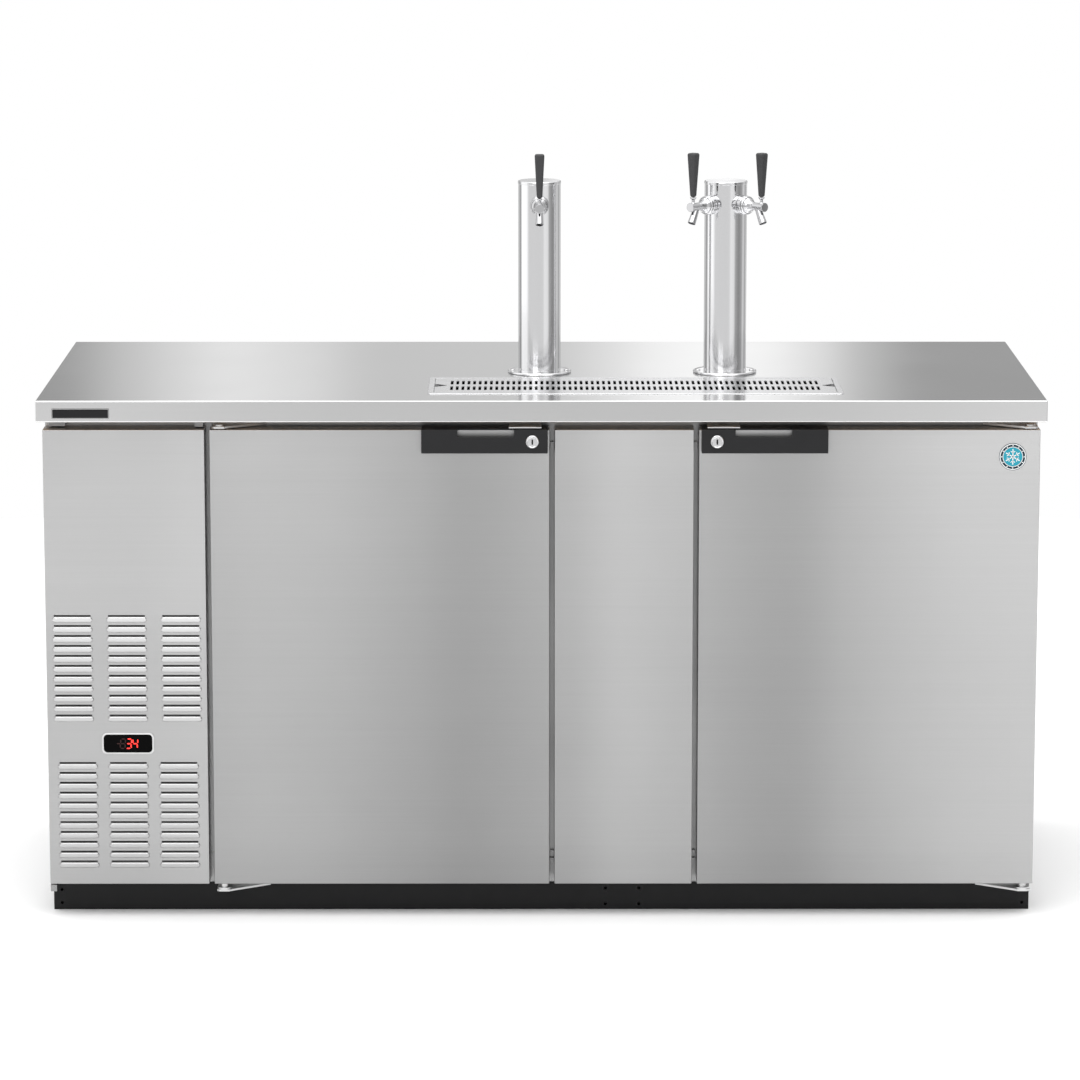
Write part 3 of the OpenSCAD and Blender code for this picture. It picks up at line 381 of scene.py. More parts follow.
def ramp_node(tree, value, stops, interpolation):
    """A colour ramp of greys or colours along a value from 0 to 1."""
    node = add_node(tree, "ValToRGB", {"Fac": value})
    node.color_ramp.interpolation = interpolation
    elements = node.color_ramp.elements
    while len(elements) < len(stops):
        elements.new(0.5)
    for element, (position, level) in zip(elements, stops):
        element.position = position
        element.color = (*level, 1) if isinstance(level, tuple) else (level, level, level, 1)
    return node.outputs["Color"]


def mixed(tree, factor, first, second, blend_type="MIX"):
    """Two colours mixed by a factor."""
    inputs = {0: factor, 6: first, 7: second}
    return add_node(tree, "Mix", inputs, data_type="RGBA", blend_type=blend_type).outputs[2]


def noise_node(tree, vector, scale, detail=2.0, roughness=0.5):
    """A Noise texture's value on a vector."""
    inputs = {"Vector": vector, "Scale": scale, "Detail": detail, "Roughness": roughness}
    return add_node(tree, "TexNoise", inputs).outputs["Fac"]


def build_grain_group():
    """Fine parallel brush lines: the vector arrives already stretched along the lines."""
    tree, given, result = group_tree("brush_lines", {"Depth": 0.1}, ["Tone", "Height"])
    fine = noise_node(tree, given["Vector"], 1.0, 3.0, 0.7)
    broad = noise_node(tree, given["Vector"], 0.23, 1.0)
    both = math_node(tree, "ADD", math_node(tree, "MULTIPLY", fine, 0.7), math_node(tree, "MULTIPLY", broad, 0.3))
    feed(tree, swung(tree, both, given["Depth"]), result["Tone"])
    feed(tree, both, result["Height"])
    return tree


def build_haze_group():
    """Slow cloudy handling marks between a low and a high value."""
    tree, given, result = group_tree("handling_haze", {"Size": 6, "Low": 0.3, "High": 0.4}, ["Value"])
    cloud = noise_node(tree, given["Vector"], given["Size"], 3.0)
    feed(tree, map_range(tree, cloud, 0.3, 0.7, given["Low"], given["High"]), result["Value"])
    return tree


def build_pebble_group():
    """The fine pebbled skin of moulded plastic, paint and rubber."""
    tree, given, result = group_tree("moulded_skin", {"Size": 900, "Depth": 0.1}, ["Tone", "Height"])
    cells = add_node(tree, "TexVoronoi", {"Vector": given["Vector"], "Scale": given["Size"]}, feature="SMOOTH_F1")
    drift = noise_node(tree, given["Vector"], 35.0, 4.0)
    feed(tree, swung(tree, drift, given["Depth"]), result["Tone"])
    feed(tree, cells.outputs["Distance"], result["Height"])
    return tree


GRAIN = build_grain_group()
HAZE = build_haze_group()
PEBBLE = build_pebble_group()


class Finish:
    """A material being wired up around its Principled shader."""

    def __init__(self, name, metallic=0.0, roughness=0.5):
        self.material = bpy.data.materials.new(name)
        self.material.use_nodes = True
        self.tree = self.material.node_tree
        self.shader = self.tree.nodes["Principled BSDF"]
        self.send(Metallic=metallic, Roughness=roughness)
        self.place = add_node(self.tree, "TexCoord").outputs["Object"]

    def send(self, **values):
        """Links or sets the shader's own sockets."""
        for label, value in values.items():
            feed(self.tree, value, self.shader.inputs[label.replace("_", " ")])
        return self

    def group(self, tree, vector, **values):
        """One of the shared effects with this material's own values."""
        return add_node(self.tree, "Group", {"Vector": vector, **values}, node_tree=tree).outputs

    def hazed(self, size, low, high):
        """A roughness with slow cloudy handling marks."""
        return self.send(Roughness=self.group(HAZE, self.place, Size=size, Low=low, High=high)["Value"])

    def stretched(self, scale):
        """Object coordinates scaled apart along the three axes."""
        return add_node(self.tree, "Mapping", {"Vector": self.place, "Scale": scale}).outputs["Vector"]

    def cells(self, vector, scale):
        """The outputs of a Voronoi texture on a vector."""
        return add_node(self.tree, "TexVoronoi", {"Vector": vector, "Scale": scale}).outputs

    def ramp(self, value, start, end, stops):
        """A colour ramp along a value between two ends, or along an axis by its letter."""
        if isinstance(value, str):
            value = add_node(self.tree, "SeparateXYZ", {"Vector": self.place}).outputs[value]
        share = map_range(self.tree, value, start, end)
        return ramp_node(self.tree, share, stops, "B_SPLINE" if len(stops) > 3 else "EASE")

    def times(self, colour, other):
        """A colour multiplied by another colour, or by a value."""
        first, second = ((*value, 1) if isinstance(value, tuple) else value for value in (colour, other))
        return mixed(self.tree, 1.0, first, second, "MULTIPLY")

    def bump(self, height, strength, distance=0.0002):
        """Sends a height to the shader's normal."""
        inputs = {"Strength": strength, "Distance": distance, "Height": height}
        return self.send(Normal=add_node(self.tree, "Bump", inputs).outputs["Normal"])


LINES_ALONG = {"x": (4, 500, 500), "y": (500, 4, 500), "z": (500, 500, 4)}


def brushed_metal(name, along, levels, span=(0, 1), fade=None, low=0.3, high=0.36, depth=0.1, bump=0.12, proud=None):
    """Stainless steel with brush lines along one axis. The levels are (share, display
    grey) stops across its width, painted reflection bands where they vary; the fade is
    a start, an end and stops up its face, a painted shade darker towards the bottom;
    and proud is a start, an end and stops outwards, a painted highlight on pressings
    that stand proud."""
    finish = Finish(name, metallic=1.0)
    lines = finish.group(GRAIN, finish.stretched(LINES_ALONG[along]), Depth=depth)
    # Painted reflection bands across the width; below, painted shade up the face and a painted highlight on proud
    # pressings.
    tone = finish.ramp("X", *span, [(share, linear(level)) for share, level in levels])
    if fade:
        tone = finish.times(tone, finish.ramp("Z", *fade))
    if proud:
        tone = finish.times(tone, finish.ramp("Y", *proud))
    finish.send(Base_Color=finish.times(tone, lines["Tone"])).hazed(5, low, high)
    return finish.bump(lines["Height"], bump).material


def plain_metal(name, colour, roughness, swing=0.06, size=40, grain="z", depth=0.04, shade=None):
    """A metal finish of one colour with faint lines and handling marks. Shade is a
    start, an end and stops up from the bottom of a hollow, a painted shade there."""
    finish = Finish(name, metallic=1.0)
    lines = finish.group(GRAIN, finish.stretched(LINES_ALONG[grain]), Depth=depth)
    tone = finish.times(tuple(colour), lines["Tone"])
    # Painted shade: darker towards the bottom of a hollow.
    if shade:
        tone = finish.times(tone, finish.ramp("Z", *shade))
    finish.send(Base_Color=tone).hazed(size, roughness, roughness + swing)
    return finish.bump(lines["Height"], depth).material


def moulded(name, colour, roughness, size=900, depth=0.25, bump=0.15, spread=0.08, shine=0.2):
    """Moulded plastic, paint or rubber of one colour with a pebbled skin."""
    finish = Finish(name).send(Specular_IOR_Level=shine)
    skin = finish.group(PEBBLE, finish.place, Size=size, Depth=depth)
    finish.send(Base_Color=finish.times(tuple(colour), skin["Tone"])).hazed(30, roughness, roughness + spread)
    return finish.bump(skin["Height"], bump).material


# ---------- what a user would change ----------

class KegeratorSizes(bpy.types.PropertyGroup):
    """Sizes of the worked edges and pressings."""
    edge: FloatProperty(
        name="Folded edge", description="Radius of the folded edges of the panels and doors",
        default=0.0014, min=0.0004, max=0.003, unit="LENGTH")
    top_edge: FloatProperty(
        name="Worktop edge", description="Radius of the folded edges of the worktop",
        default=0.0022, min=0.0006, max=0.004, unit="LENGTH")
    hood_round: FloatProperty(
        name="Louvre ends", description="Radius of the ends of each louvre hood",
        default=0.005, min=0.001, max=0.0051, unit="LENGTH")
    handle_round: FloatProperty(
        name="Tap handle edges", description="Radius of the long edges of a tap handle",
        default=0.0042, min=0.001, max=0.005, unit="LENGTH")


class KegeratorColours(bpy.types.PropertyGroup):
    """Colours of the finishes."""
    polished: FloatVectorProperty(
        name="Polished steel", description="Colour of the tower columns, caps and flanges",
        subtype="COLOR", default=(0.80, 0.80, 0.81), min=0, max=1)
    chrome: FloatVectorProperty(
        name="Chrome", description="Colour of the taps and locks",
        subtype="COLOR", default=(0.58, 0.58, 0.59), min=0, max=1)
    cap: FloatVectorProperty(
        name="Column caps", description="Colour of the spun caps of the columns",
        subtype="COLOR", default=(0.78, 0.78, 0.79), min=0, max=1)
    zinc: FloatVectorProperty(
        name="Zinc", description="Colour of the screws, hinges and strikes",
        subtype="COLOR", default=(0.66, 0.66, 0.66), min=0, max=1)
    black: FloatVectorProperty(
        name="Black plastic", description="Colour of the door handles",
        subtype="COLOR", default=(0.016, 0.016, 0.017), min=0, max=1)
    tap_grey: FloatVectorProperty(
        name="Tap handle grey", description="Colour of the tap handles",
        subtype="COLOR", default=(0.050, 0.050, 0.052), min=0, max=1)
    plinth: FloatVectorProperty(
        name="Plinth paint", description="Colour of the painted plinth",
        subtype="COLOR", default=(0.0095, 0.0095, 0.010), min=0, max=1)
    copper: FloatVectorProperty(
        name="Copper", description="Colour of the refrigerant lines",
        subtype="COLOR", default=(0.78, 0.38, 0.24), min=0, max=1)
    foam: FloatVectorProperty(
        name="Foam", description="Colour of the insulation",
        subtype="COLOR", default=(0.80, 0.68, 0.40), min=0, max=1)
    digits: FloatVectorProperty(
        name="Digits", description="Colour of the lit digits",
        subtype="COLOR", default=(1.0, 0.03, 0.02), min=0, max=1)
    enamel: FloatVectorProperty(
        name="Badge enamel", description="Colour of the middle of the door badge",
        subtype="COLOR", default=(0.03, 0.32, 0.42), min=0, max=1)


# ---------- measures taken from the frame ----------

TOP_LO, TOP_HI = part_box("worktop_skin")
LEFT_LO, LEFT_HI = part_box("left_door_skin")
RIGHT_LO, RIGHT_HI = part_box("right_door_skin")
CENTRE_LO, CENTRE_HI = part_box("centre_panel")
LOUVRE_LO, LOUVRE_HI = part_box("louvre_panel")
TRAY_LO, TRAY_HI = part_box("drip_tray")
GRATE_LO, GRATE_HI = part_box("drip_grate")
COLUMN_LO, COLUMN_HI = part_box("tower_columns")
CAP_LO, CAP_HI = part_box("tower_caps")
LENS_LO, LENS_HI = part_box("display_lens")
LENS_MIDDLE = (LENS_LO + LENS_HI) / 2
LENS_WIDE, LENS_TALL = LENS_HI.x - LENS_LO.x, LENS_HI.z - LENS_LO.z
BEZEL_LO, BEZEL_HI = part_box("display_bezel")

DOOR_FRONT = LEFT_LO.y
SHEET = mm(1.2)
WALL = mm(1.5)
PAST = mm(20)       # how far a cutter reaches past what it cuts, where there is room
TOWER_RADIUS = mm(38.1)
TOWER_Y = (COLUMN_LO.y + COLUMN_HI.y) / 2
TOWER_X = (COLUMN_LO.x + TOWER_RADIUS, COLUMN_HI.x - TOWER_RADIUS)
TAP_Z = TOP_HI.z + mm(308)
LEVER_OUT = mm(95)
SPOUT_OUT = mm(84)
SPOUT_LEAN = math.radians(28)
SCREW_CIRCLE = mm(48.5)
TAPS = ((TOWER_X[0], 0.0), (TOWER_X[1], -math.radians(40)), (TOWER_X[1], math.radians(40)))


# ---------- finishes ----------


def build_finishes(colours):
    """Every finish of the kegerator by name."""
    # The door levels are painted reflection bands: lighter and darker stripes across each door where studio light would
    # mirror in the steel.
    doors = {
        "left": (LEFT_LO, LEFT_HI, [(0.0, 190), (0.14, 196), (0.38, 191), (0.62, 177), (0.78, 166), (1.0, 185)]),
        "right": (RIGHT_LO, RIGHT_HI, [(0.0, 189), (0.25, 167), (0.42, 188), (0.68, 207), (0.85, 212), (1.0, 215)]),
    }
    # Painted shade up the doors, the centre panel and the louvre panel: darker towards the bottom, lighter towards the
    # top.
    door_painted_shade = (LEFT_LO.z, LEFT_HI.z, [(0.0, 0.64), (0.09, 0.65), (0.52, 0.73), (0.89, 0.97), (1.0, 1.0)])
    louvre_painted_shade = (LOUVRE_LO.z, LOUVRE_HI.z, [(0.0, 0.7), (0.1, 0.72), (0.5, 0.78), (0.7, 0.93), (1.0, 1.0)])
    # Painted highlight on the louvre hoods: the further a hood stands out from the panel, the brighter it is painted.
    louvre_painted_highlight = (DOOR_FRONT - mm(0.5), DOOR_FRONT - mm(3.6), [(0.0, 1.0), (0.2, 1.12), (1.0, 1.34)])
    # Painted shade in the drip tray: near black below the grate, where shade falls in the basin.
    hollow_shade = (TOP_HI.z - mm(1.0), TOP_HI.z - mm(0.2), [(0.0, 0.03), (1.0, 1.0)])
    finishes = {
        side + "_door": brushed_metal(f"steel_{side}_door", "x", levels, (lo.x, hi.x), door_painted_shade)
        for side, (lo, hi, levels) in doors.items()}
    # Painted reflection bands across the centre panel.
    finishes["centre"] = brushed_metal(
        "steel_centre_panel", "x", [(0.0, 186), (0.5, 201), (1.0, 195)], (CENTRE_LO.x, CENTRE_HI.x), door_painted_shade)
    finishes["louvres"] = brushed_metal(
        "steel_louvre_panel", "x", [(0.0, 197), (0.5, 196), (1.0, 200)], (LOUVRE_LO.x, LOUVRE_HI.x), louvre_painted_shade,
        proud=louvre_painted_highlight)
    # Painted reflection bands across the worktop, lighter towards its ends.
    finishes["worktop"] = brushed_metal(
        "steel_worktop", "x", [(0.0, 230), (0.15, 226), (0.35, 214), (0.72, 215), (0.9, 228), (1.0, 236)],
        (TOP_LO.x, TOP_HI.x), low=0.12, high=0.15, depth=0.06, bump=0.03)
    finishes["face"] = brushed_metal("steel_face_strips", "x", [(0.0, 150), (0.5, 152), (1.0, 150)], (-1, 1))
    finishes["sides"] = brushed_metal("steel_sides", "y", [(0.0, 196), (0.5, 198), (1.0, 196)], (-1, 1))
    finishes["galvanised"] = galvanised_sheet(colours.zinc)
    finishes["board"] = chip_board()
    finishes["liner"] = stucco_liner(colours.zinc)
    finishes["lit"] = lamp("lit_segment", colours.digits, 1.3)
    for key, *values in (
            ("polished", "polished_steel", colours.polished, 0.1, 0.03),
            ("caps", "spun_caps", colours.cap, 0.16, 0.06),
            ("grate", "grate_steel", colours.polished, 0.24, 0.06, 25, "x", 0.08),
            ("tray", "tray_steel", colours.polished, 0.24, 0.06, 25, "x", 0.08, hollow_shade),
            ("chrome", "bright_chrome", colours.chrome, 0.05, 0.03, 60, "z", 0.02),
            ("zinc", "zinc_plate", colours.zinc, 0.3, 0.12, 90),
            ("copper", "copper_tube", colours.copper, 0.24, 0.14, 25, "z", 0.1),
            ("fins", "aluminium_fins", (0.72, 0.73, 0.74), 0.34, 0.1, 30, "z", 0.1)):
        finishes[key] = plain_metal(*values)
    for key, *values in (
            ("plinth", "plinth_paint", colours.plinth, 0.42, 1400, 0.3, 0.1),
            ("handle", "handle_plastic", colours.black, 0.36, 1600, 0.2, 0.08),
            ("tap_handle", "tap_handle_plastic", colours.tap_grey, 0.38, 2000, 0.2, 0.05),
            ("rubber", "black_rubber", (0.016, 0.016, 0.016), 0.6, 1200, 0.3, 0.2),
            ("gasket", "door_gasket_vinyl", (0.02, 0.02, 0.021), 0.5, 1500, 0.2, 0.12),
            ("dark_plastic", "dark_plastic", (0.028, 0.028, 0.03), 0.45, 800, 0.25, 0.15),
            # Painted shade: the grey of the pads behind the louvre slits.
            ("filter", "filter_mesh", (0.16, 0.16, 0.165), 0.7, 900, 0.4, 0.4),
            ("pale_plastic", "pale_plastic", (0.72, 0.74, 0.70), 0.38, 800, 0.1, 0.1),
            ("lens", "smoked_lens", (0.003, 0.003, 0.003), 0.08, 400, 0.1, 0.0, 0.03, 0.02),
            ("foam", "insulation_foam", colours.foam, 0.85, 260, 0.35, 0.6),
            ("plate", "nameplate_black", (0.012, 0.012, 0.013), 0.3, 900, 0.1, 0.05),
            ("enamel", "badge_enamel", colours.enamel, 0.16, 500, 0.12, 0.02),
            ("badge_dark", "badge_ring", (0.012, 0.03, 0.045), 0.2, 500, 0.1, 0.02),
            ("badge_white", "badge_white", (0.80, 0.82, 0.82), 0.25, 500, 0.05, 0.02),
            ("unlit", "unlit_segment", (0.035, 0.012, 0.011), 0.3, 500, 0.2, 0.02),
            # The hollow finish is painted shade: near black, for the spout throats and the key slots.
            ("hollow", "dark_bore", (0.004, 0.004, 0.004), 0.7, 500, 0.2, 0.05)):
        finishes[key] = moulded(*values)
    return finishes


def galvanised_sheet(colour):
    """Zinc spangle: cells of slightly different greys."""
    finish = Finish("galvanised_sheet", metallic=1.0)
    cells = finish.cells(finish.place, 70)
    shade = finish.ramp(cells["Color"], 0.0, 1.0, [(0.0, 0.78), (1.0, 1.0)])
    return finish.send(Base_Color=finish.times(tuple(colour), shade)).hazed(12, 0.36, 0.5).material


def stucco_liner(colour):
    """Embossed aluminium with a pebbled face."""
    finish = Finish("stucco_aluminium", metallic=1.0)
    skin = finish.group(PEBBLE, finish.place, Size=140, Depth=0.15)
    finish.send(Base_Color=finish.times(tuple(colour), skin["Tone"])).hazed(8, 0.3, 0.4)
    return finish.bump(skin["Height"], 0.7, 0.001).material


def chip_board():
    """Pressed wood chips of mixed browns."""
    finish = Finish("chip_board", roughness=0.8)
    chips = finish.cells(finish.stretched((0.4, 1, 1)), 260)
    browns = [(0.0, (0.32, 0.20, 0.11)), (1.0, (0.58, 0.42, 0.26))]
    finish.send(Base_Color=finish.ramp(chips["Color"], 0.0, 1.0, browns))
    return finish.bump(chips["Distance"], 0.4).material


def lamp(name, colour, strength):
    """A lit segment with a slightly uneven glow."""
    finish = Finish(name, roughness=0.3)
    glow = finish.group(PEBBLE, finish.place, Size=300, Depth=0.2)
    shade = finish.times(tuple(colour), glow["Tone"])
    return finish.send(Emission_Color=shade, Base_Color=shade, Emission_Strength=strength).material


# ---------- pieces of the cabinet ----------

def cabinet_plinth(size, finish):
    """The painted channel frame with its folded edges rounded."""
    softened_node("plinth_frame", mm(0.6), "cabinet", "plinth_paint", finish["plinth"])


def folded_cover(name, lo, hi, back, size):
    """A pan of sheet steel, open at the back, with rounded folds."""
    pan = block(name, lo, (hi.x, back, hi.z))
    soften(pan, size.edge, 3)
    wall = Vector((SHEET, SHEET, SHEET))
    return cut(pan, block("hollow", lo + wall, (hi.x - SHEET, back + PAST, hi.z - SHEET)))


def side_covers(size, finish):
    """The two side panels with their narrow returns at the front."""
    for side in ("left", "right"):
        node = "side_panel_" + side
        lo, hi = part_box(node)
        panel = block(node + "_sheet", lo, hi)
        soften(panel, size.edge, 3)
        near, far = (WALL, -PAST) if side == "left" else (-PAST, WALL)
        cut(panel, block("hollow", lo + Vector((near, WALL, -PAST)), hi + Vector((-far, PAST, PAST))))
        fitted(panel, "cabinet", "brushed_steel", finish["sides"], node)


def back_cover(size, finish):
    """The vented back sheet stays as it is, and gains its row of screws."""
    dress(finish["galvanised"], "back_panel")
    lo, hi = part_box("back_panel")
    inset = mm(14)
    left, right, bottom, top = lo.x + inset, hi.x - inset, lo.z + inset, hi.z - inset
    spots = [(left + place * (right - left) / 6, z) for z in (bottom, top) for place in range(7)]
    spots += [(x, lo.z + share * (hi.z - lo.z)) for x in (left, right) for share in (0.25, 0.5, 0.75)]
    head = pan_head("back_screw", mm(4.6), mm(2.4))
    screws = copies(head, [((x, hi.y, z), (-QUARTER_TURN, 0, 0)) for x, z in spots])
    fitted(joined("back_screws", screws), "cabinet", "zinc", finish["zinc"])


def pan_head(name, radius, height):
    """A pan-head screw with a cross recess, standing on the XY plane."""
    crown = [(0, 0), (1, 0), (1, 0.45), (0.86, 0.8), (0.5, 1), (0, 1)]
    head = turned(name, [(x * radius, z * height) for x, z in crown], 20)
    arm, bar, floor = radius * 0.62, radius * 0.13, height * 0.45
    recess = [block("recess", (-x, -y, floor), (x, y, height * 2)) for x, y in ((arm, bar), (bar, arm))]
    return cut(head, *recess)


def centre_cover(size, finish):
    """The fixed panel between the doors."""
    cover = folded_cover("centre_cover", CENTRE_LO, CENTRE_HI, CENTRE_HI.y, size)
    fitted(cover, "cabinet", "brushed_steel", finish["centre"], "centre_panel")


LOUVRE_WIDE = mm(71)
LOUVRE_PITCH = mm(17.9)
LOUVRE_ROWS = 11
LOUVRE_GAP = mm(2.6)
HOOD_TALL = mm(10.4)
HOOD_OUT = mm(4.2)
LOUVRE_BLOCKS = ((mm(-730.5), mm(95.5), mm(546)), (mm(-731), mm(89.5), mm(281)))


def louvre_hood(size):
    """One pressed hood with round ends and a rolled face, proudest at its upper edge."""
    buried = mm(6)
    lean = math.atan2(mm(2.8), HOOD_TALL)
    hood = plate("hood", (0, 0, -buried), (LOUVRE_WIDE, HOOD_TALL), size.hood_round, buried + HOOD_OUT)
    soften(hood, mm(2.6), 4, 60)
    return placed(hood, (0, mm(1.5), -LOUVRE_GAP - HOOD_TALL / 2), (QUARTER_TURN + lean, 0, 0))


def louvre_cover(size, finish):
    """The machine compartment's panel with its two blocks of louvres."""
    panel_lo = Vector((LOUVRE_LO.x, DOOR_FRONT, LOUVRE_LO.z))
    cover = folded_cover("louvre_cover", panel_lo, LOUVRE_HI, LOUVRE_HI.y, size)
    slits = []
    hoods = []
    hood = louvre_hood(size)
    half = LOUVRE_WIDE / 2 - mm(3)
    reach = mm(3)
    rows = (LOUVRE_ROWS, (0, 0, LOUVRE_PITCH))
    for middle, column_pitch, top in LOUVRE_BLOCKS:
        lowest = top - (LOUVRE_ROWS - 1) * LOUVRE_PITCH
        for column in (-1, 0, 1):
            x = middle + column * column_pitch
            slit = block("slit", (x - half, DOOR_FRONT - reach, lowest - LOUVRE_GAP),
                         (x + half, DOOR_FRONT + reach, lowest))
            slits.append(rows_of(slit, *rows))
            hoods.append(rows_of(twin(hood, (x, DOOR_FRONT, lowest)), *rows))
    bpy.data.objects.remove(hood)
    window = upright_plate("window", LENS_MIDDLE, (LENS_WIDE + mm(1), LENS_TALL + mm(1)), mm(6),
                           DOOR_FRONT + mm(6), DOOR_FRONT - mm(6))
    cut(cover, joined("slits", slits), window)
    cover = joined("louvre_cover", [cover] + hoods)
    fitted(cover, "cabinet", "brushed_steel", finish["louvres"], "louvre_panel")
    # Dark grey pads behind the louvres are painted shade: they stand in for the dark seen through the slits.
    side = mm(14)
    front, back = DOOR_FRONT + mm(16), DOOR_FRONT + mm(20)
    pads = [block("pad", (LOUVRE_LO.x + side, front, low), (LOUVRE_HI.x - side, back, high))
            for low, high in ((mm(88), mm(292)), (mm(346), mm(566)))]
    fitted(joined("filter_pads", pads), "cabinet", "dark_plastic", finish["filter"])


def face_strips(size, finish):
    """The strips round the openings and the hinge and strike plates."""
    softened_node("face_frame", mm(0.3), "cabinet", "brushed_steel", finish["face"])
    for node in ("hinge_brackets", "lock_strikes"):
        softened_node(node, mm(0.35), "cabinet", "zinc", finish["zinc"])


# ---------- pieces of the display ----------

SEGMENTS = {"a": (0, 1), "b": (1, 0.5), "c": (1, -0.5), "d": (0, -1), "e": (-1, -0.5), "f": (-1, 0.5), "g": (0, 0)}
LIT = {"3": "abcdg", "4": "bcfg", "8": "abcdefg", "-": "g"}


def digit(shape, x, z, tall, y):
    """The segments of one digit, as pointed bars standing on the plane y."""
    bars = []
    half = tall / 4
    thick = tall / 17
    long = half * 0.78
    lean = 0.1
    flat = long - thick
    bar = [(-long, 0), (-flat, thick), (flat, thick), (long, 0), (flat, -thick), (-flat, -thick)]
    for name in LIT[shape]:
        across, up = SEGMENTS[name]
        outline = bar if across == 0 else [(rise, run) for run, rise in bar]
        centre_x = x + across * half + up * half * 2 * lean
        centre_z = z + up * half * 2
        points = [(centre_x + px, y, centre_z + pz) for px, pz in outline]
        bars.append(prism("segment", points, (0, -mm(0.12), 0)))
    return bars


def display(size, finish):
    """The smoked lens in its bright bezel, with two lit digits and two unlit ones."""
    lens = upright_plate("display_glass", LENS_MIDDLE, (LENS_WIDE, LENS_TALL), mm(6.7), LENS_HI.y, LENS_LO.y)
    soften(lens, mm(0.7), 3)
    fitted(lens, "cabinet", "lens", finish["lens"], "display_lens")
    outer = (BEZEL_HI.x - BEZEL_LO.x, BEZEL_HI.z - BEZEL_LO.z)
    bezel = upright_plate("bezel_ring", LENS_MIDDLE, outer, mm(8), BEZEL_HI.y, BEZEL_LO.y)
    soften(bezel, mm(0.8), 3)
    gap = mm(0.6)
    cut(bezel, upright_plate("opening", LENS_MIDDLE, (LENS_WIDE + gap, LENS_TALL + gap), mm(7),
                             BEZEL_HI.y + mm(4), BEZEL_HI.y - mm(6)))
    fitted(bezel, "cabinet", "bezel", finish["zinc"], "display_bezel")
    face = LENS_LO.y + mm(0.02)
    first = LENS_MIDDLE.x + mm(1.8)
    step = mm(10.8)
    for name, look, digits in (
            ("lit_digits", "lit", (("3", 0), ("4", 1))), ("unlit_digits", "unlit", (("-", -1.7), ("8", -1)))):
        bars = []
        for shape, steps in digits:
            bars += digit(shape, first + steps * step, LENS_MIDDLE.z, mm(17), face)
        fitted(joined(name, bars), "cabinet", "lens", finish[look])
    dress(finish["dark_plastic"], "control_box")


# ---------- pieces of the worktop ----------

def worktop(size, finish):
    """The folded worktop with its cut-out for the tray and holes for the towers."""
    skin = block("worktop_sheet", TOP_LO, TOP_HI)
    soften(skin, size.top_edge, 4)
    top = TOP_HI.z
    below, above = top - mm(10), top + mm(10)
    hollow = block("hollow", (TOP_LO.x + WALL, TOP_LO.y + WALL, TOP_LO.z - mm(10)), TOP_HI - Vector((WALL, WALL, WALL)))
    rim, ledge = mm(8), mm(14)
    opening = block("opening", (TRAY_LO.x + rim, TRAY_LO.y + ledge, below), (TRAY_HI.x - rim, TRAY_HI.y - ledge, above))
    cut(skin, hollow, opening, *[rod("hole", (x, TOWER_Y, below), (x, TOWER_Y, above), mm(30)) for x in TOWER_X])
    fitted(skin, "cabinet", "worktop_steel", finish["worktop"], "worktop_skin")
    dress(finish["board"], "worktop_core")


def drip_tray(size, finish):
    """The pressed basin with its flat trim, ledge and outlet."""
    centre = (TRAY_LO + TRAY_HI) / 2
    bottom, top = TRAY_LO.z, TOP_HI.z
    trim_size = (TRAY_HI.x - TRAY_LO.x, TRAY_HI.y - TRAY_LO.y)
    trim = plate("tray_pressing", (centre.x, centre.y, top), trim_size, mm(6), TRAY_HI.z - top)
    soften(trim, mm(0.7), 3)
    lo, hi = GRATE_LO, GRATE_HI
    gap = mm(0.7)
    left, right, front, back = lo.x - gap, hi.x + gap, lo.y - gap, hi.y + gap
    basin = block("basin", (left - SHEET, front - SHEET, bottom), (right + SHEET, back + SHEET, top + mm(0.3)))
    soften(basin, mm(2.5), 3)
    inside = block("inside", (left, front, bottom + SHEET), (right, back, top + mm(5)))
    tray = joined("tray_pressing", [trim, basin])
    hole = rod("strainer", (centre.x, centre.y, bottom - mm(1)), (centre.x, centre.y, bottom + mm(3)), mm(1.8), 16)
    cut(tray, inside, hole, *[twin(hole, (x, y, 0)) for x, y in round_spots(mm(4.9), 6)])
    shelf, past = mm(8), mm(5)
    ledge = block("ledge", (left, front, lo.z - SHEET), (right, back, lo.z))
    cut(ledge, block("hollow", (lo.x + shelf, lo.y + shelf, lo.z - past), (hi.x - shelf, hi.y - shelf, lo.z + past)))
    fitted(joined("tray_pressing", [tray, ledge]), "cabinet", "tray_steel", finish["tray"], "drip_tray")
    dress(finish["pale_plastic"], "drip_drain_tube")


GRATE_SLOTS = 66
SLOT_PITCH = mm(10)
SLOT_LONG = mm(45)
SLOT_WIDE = mm(5)
ROW_APART = mm(68)


def drip_grate(size, finish):
    """The lift-out grate with two rows of slots and a finger notch in each end."""
    centre = (GRATE_LO + GRATE_HI) / 2
    grate = block("slotted_grate", GRATE_LO, GRATE_HI)
    soften(grate, mm(0.5))
    below, through = GRATE_LO.z - mm(3), mm(9)
    slot = plate("slot", (centre.x - (GRATE_SLOTS - 1) / 2 * SLOT_PITCH, centre.y - ROW_APART / 2, below),
                 (SLOT_WIDE, SLOT_LONG), SLOT_WIDE * 0.48, through, 3)
    rows_of(slot, GRATE_SLOTS, (SLOT_PITCH, 0, 0))
    rows_of(slot, 2, (0, ROW_APART, 0))
    notches = []
    half = [(2, -17), (-4, -17), (-12, -9), (-21, -2)]
    outline = in_mm(half + [(x, -y) for x, y in reversed(half)])
    for side, edge in ((-1, GRATE_LO.x), (1, GRATE_HI.x)):
        points = [(edge + side * x, centre.y + y, below) for x, y in outline]
        notches.append(prism("notch", points, (0, 0, through)))
    cut(grate, slot, *notches)
    fitted(grate, "grate", "tray_steel", finish["grate"], "drip_grate")


# ---------- pieces of the towers and taps ----------

